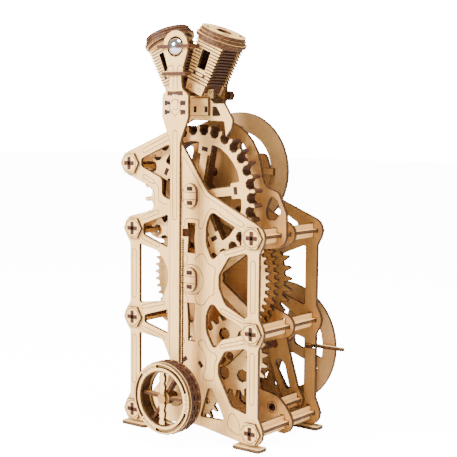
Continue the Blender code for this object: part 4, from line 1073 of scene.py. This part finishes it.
class KIT_OT_stage(Operator):
    """Lay the pale floor, and set the lights and the camera"""

    bl_idname = "kit.stage"
    bl_label = "Stage"

    def execute(self, context):
        sizes = context.scene.stage_sizes
        half = sizes.floor / 2
        mesh = bpy.data.meshes.new("floor")
        corners = [(x, y, 0) for x, y in box(-half, half, -half, half)]
        mesh.from_pydata(corners, [], [(0, 1, 2, 3)])
        floor = bpy.data.objects.new("floor", mesh)
        floor.location.z = -0.0002
        paper, _, _, shader = new_surface("pale_paper")
        shader.inputs["Base Color"].default_value = (0.93, 0.93, 0.92, 1)
        shader.inputs["Roughness"].default_value = 0.9
        shader.inputs["Emission Color"].default_value = (1, 1, 1, 1)
        self.seen_brighter(paper.node_tree, shader.inputs["Emission Strength"], 0.0, 0.6 * sizes.backdrop)
        mesh.materials.append(paper)
        context.scene.collection.objects.link(floor)
        world = bpy.data.worlds.new("white_room")
        world.use_nodes = True
        background = world.node_tree.nodes["Background"]
        background.inputs["Color"].default_value = (1, 1, 1, 1)
        self.seen_brighter(world.node_tree, background.inputs["Strength"], sizes.sky, sizes.backdrop)
        context.scene.world = world
        area_light("key", (-0.55, -1.35, 1.0), 0.7, sizes.key, KEY_COLOUR)
        area_light("top", (0.35, -0.15, 1.5), 0.6, 0.5 * sizes.key, KEY_COLOUR)
        area_light("fill", (1.5, -0.5, 0.6), 0.9, sizes.fill, FILL_COLOUR)
        self.camera(context, sizes)
        return {"FINISHED"}

    def seen_brighter(self, tree, socket, lighting, seen):
        """Give a brightness to what the camera and mirrors see, and another to the light it sheds."""
        path = tree.nodes.new("ShaderNodeLightPath")
        either = tree.nodes.new("ShaderNodeMath")
        either.operation = "MAXIMUM"
        spread = tree.nodes.new("ShaderNodeMapRange")
        spread.inputs["To Min"].default_value = lighting
        spread.inputs["To Max"].default_value = seen
        tree.links.new(path.outputs["Is Camera Ray"], either.inputs[0])
        tree.links.new(path.outputs["Is Singular Ray"], either.inputs[1])
        tree.links.new(either.outputs[0], spread.inputs["Value"])
        tree.links.new(spread.outputs["Result"], socket)

    def camera(self, context, sizes):
        data = bpy.data.cameras.new("camera")
        data.lens = sizes.lens
        data.sensor_width = 36
        made = bpy.data.objects.new("camera", data)
        azimuth, height, roll = map(math.radians, (CAMERA_AZIMUTH, CAMERA_HEIGHT, CAMERA_ROLL))
        forward = Vector((-math.sin(azimuth) * math.cos(height), math.cos(azimuth) * math.cos(height),
                          -math.sin(height)))
        right = Vector((math.cos(azimuth), math.sin(azimuth), 0))
        up = right.cross(forward)
        turned_right = right * math.cos(roll) + up * math.sin(roll)
        turned_up = up * math.cos(roll) - right * math.sin(roll)
        axes = Matrix((turned_right, turned_up, -forward)).transposed().to_4x4()
        made.matrix_world = Matrix.Translation(TO_ROW @ Vector(CAMERA_PLACE)) @ axes
        context.scene.collection.objects.link(made)
        context.scene.camera = made


OPERATORS = (KIT_OT_stage, KIT_OT_cord, KIT_OT_plywood, KIT_OT_engraving, KIT_OT_tie_bars, KIT_OT_swing_pin,
             KIT_OT_pegs, KIT_OT_wheel, KIT_OT_engine, KIT_OT_case, KIT_OT_lamp)


class KIT_PT_panel(Panel):
    bl_label = "Wooden tower kit"
    bl_idname = "KIT_PT_panel"
    bl_space_type = "VIEW_3D"
    bl_region_type = "UI"
    bl_category = "Kit"

    def draw(self, context):
        for step in OPERATORS:
            self.layout.operator(step.bl_idname)
        for group in (context.scene.kit_colours, context.scene.kit_sizes, context.scene.stage_sizes):
            for name in group.__annotations__:
                self.layout.prop(group, name)


CLASSES = (KitColours, KitSizes, StageSizes, *OPERATORS, KIT_PT_panel)


def register():
    for item in CLASSES:
        bpy.utils.register_class(item)
    bpy.types.Scene.kit_colours = PointerProperty(type=KitColours)
    bpy.types.Scene.kit_sizes = PointerProperty(type=KitSizes)
    bpy.types.Scene.stage_sizes = PointerProperty(type=StageSizes)


def unregister():
    del bpy.types.Scene.kit_colours
    del bpy.types.Scene.kit_sizes
    del bpy.types.Scene.stage_sizes
    for item in reversed(CLASSES):
        bpy.utils.unregister_class(item)


def main():
    register()
    for step in OPERATORS:
        family, name = step.bl_idname.split(".")
        getattr(getattr(bpy.ops, family), name)()


if __name__ == "__main__":
    main()
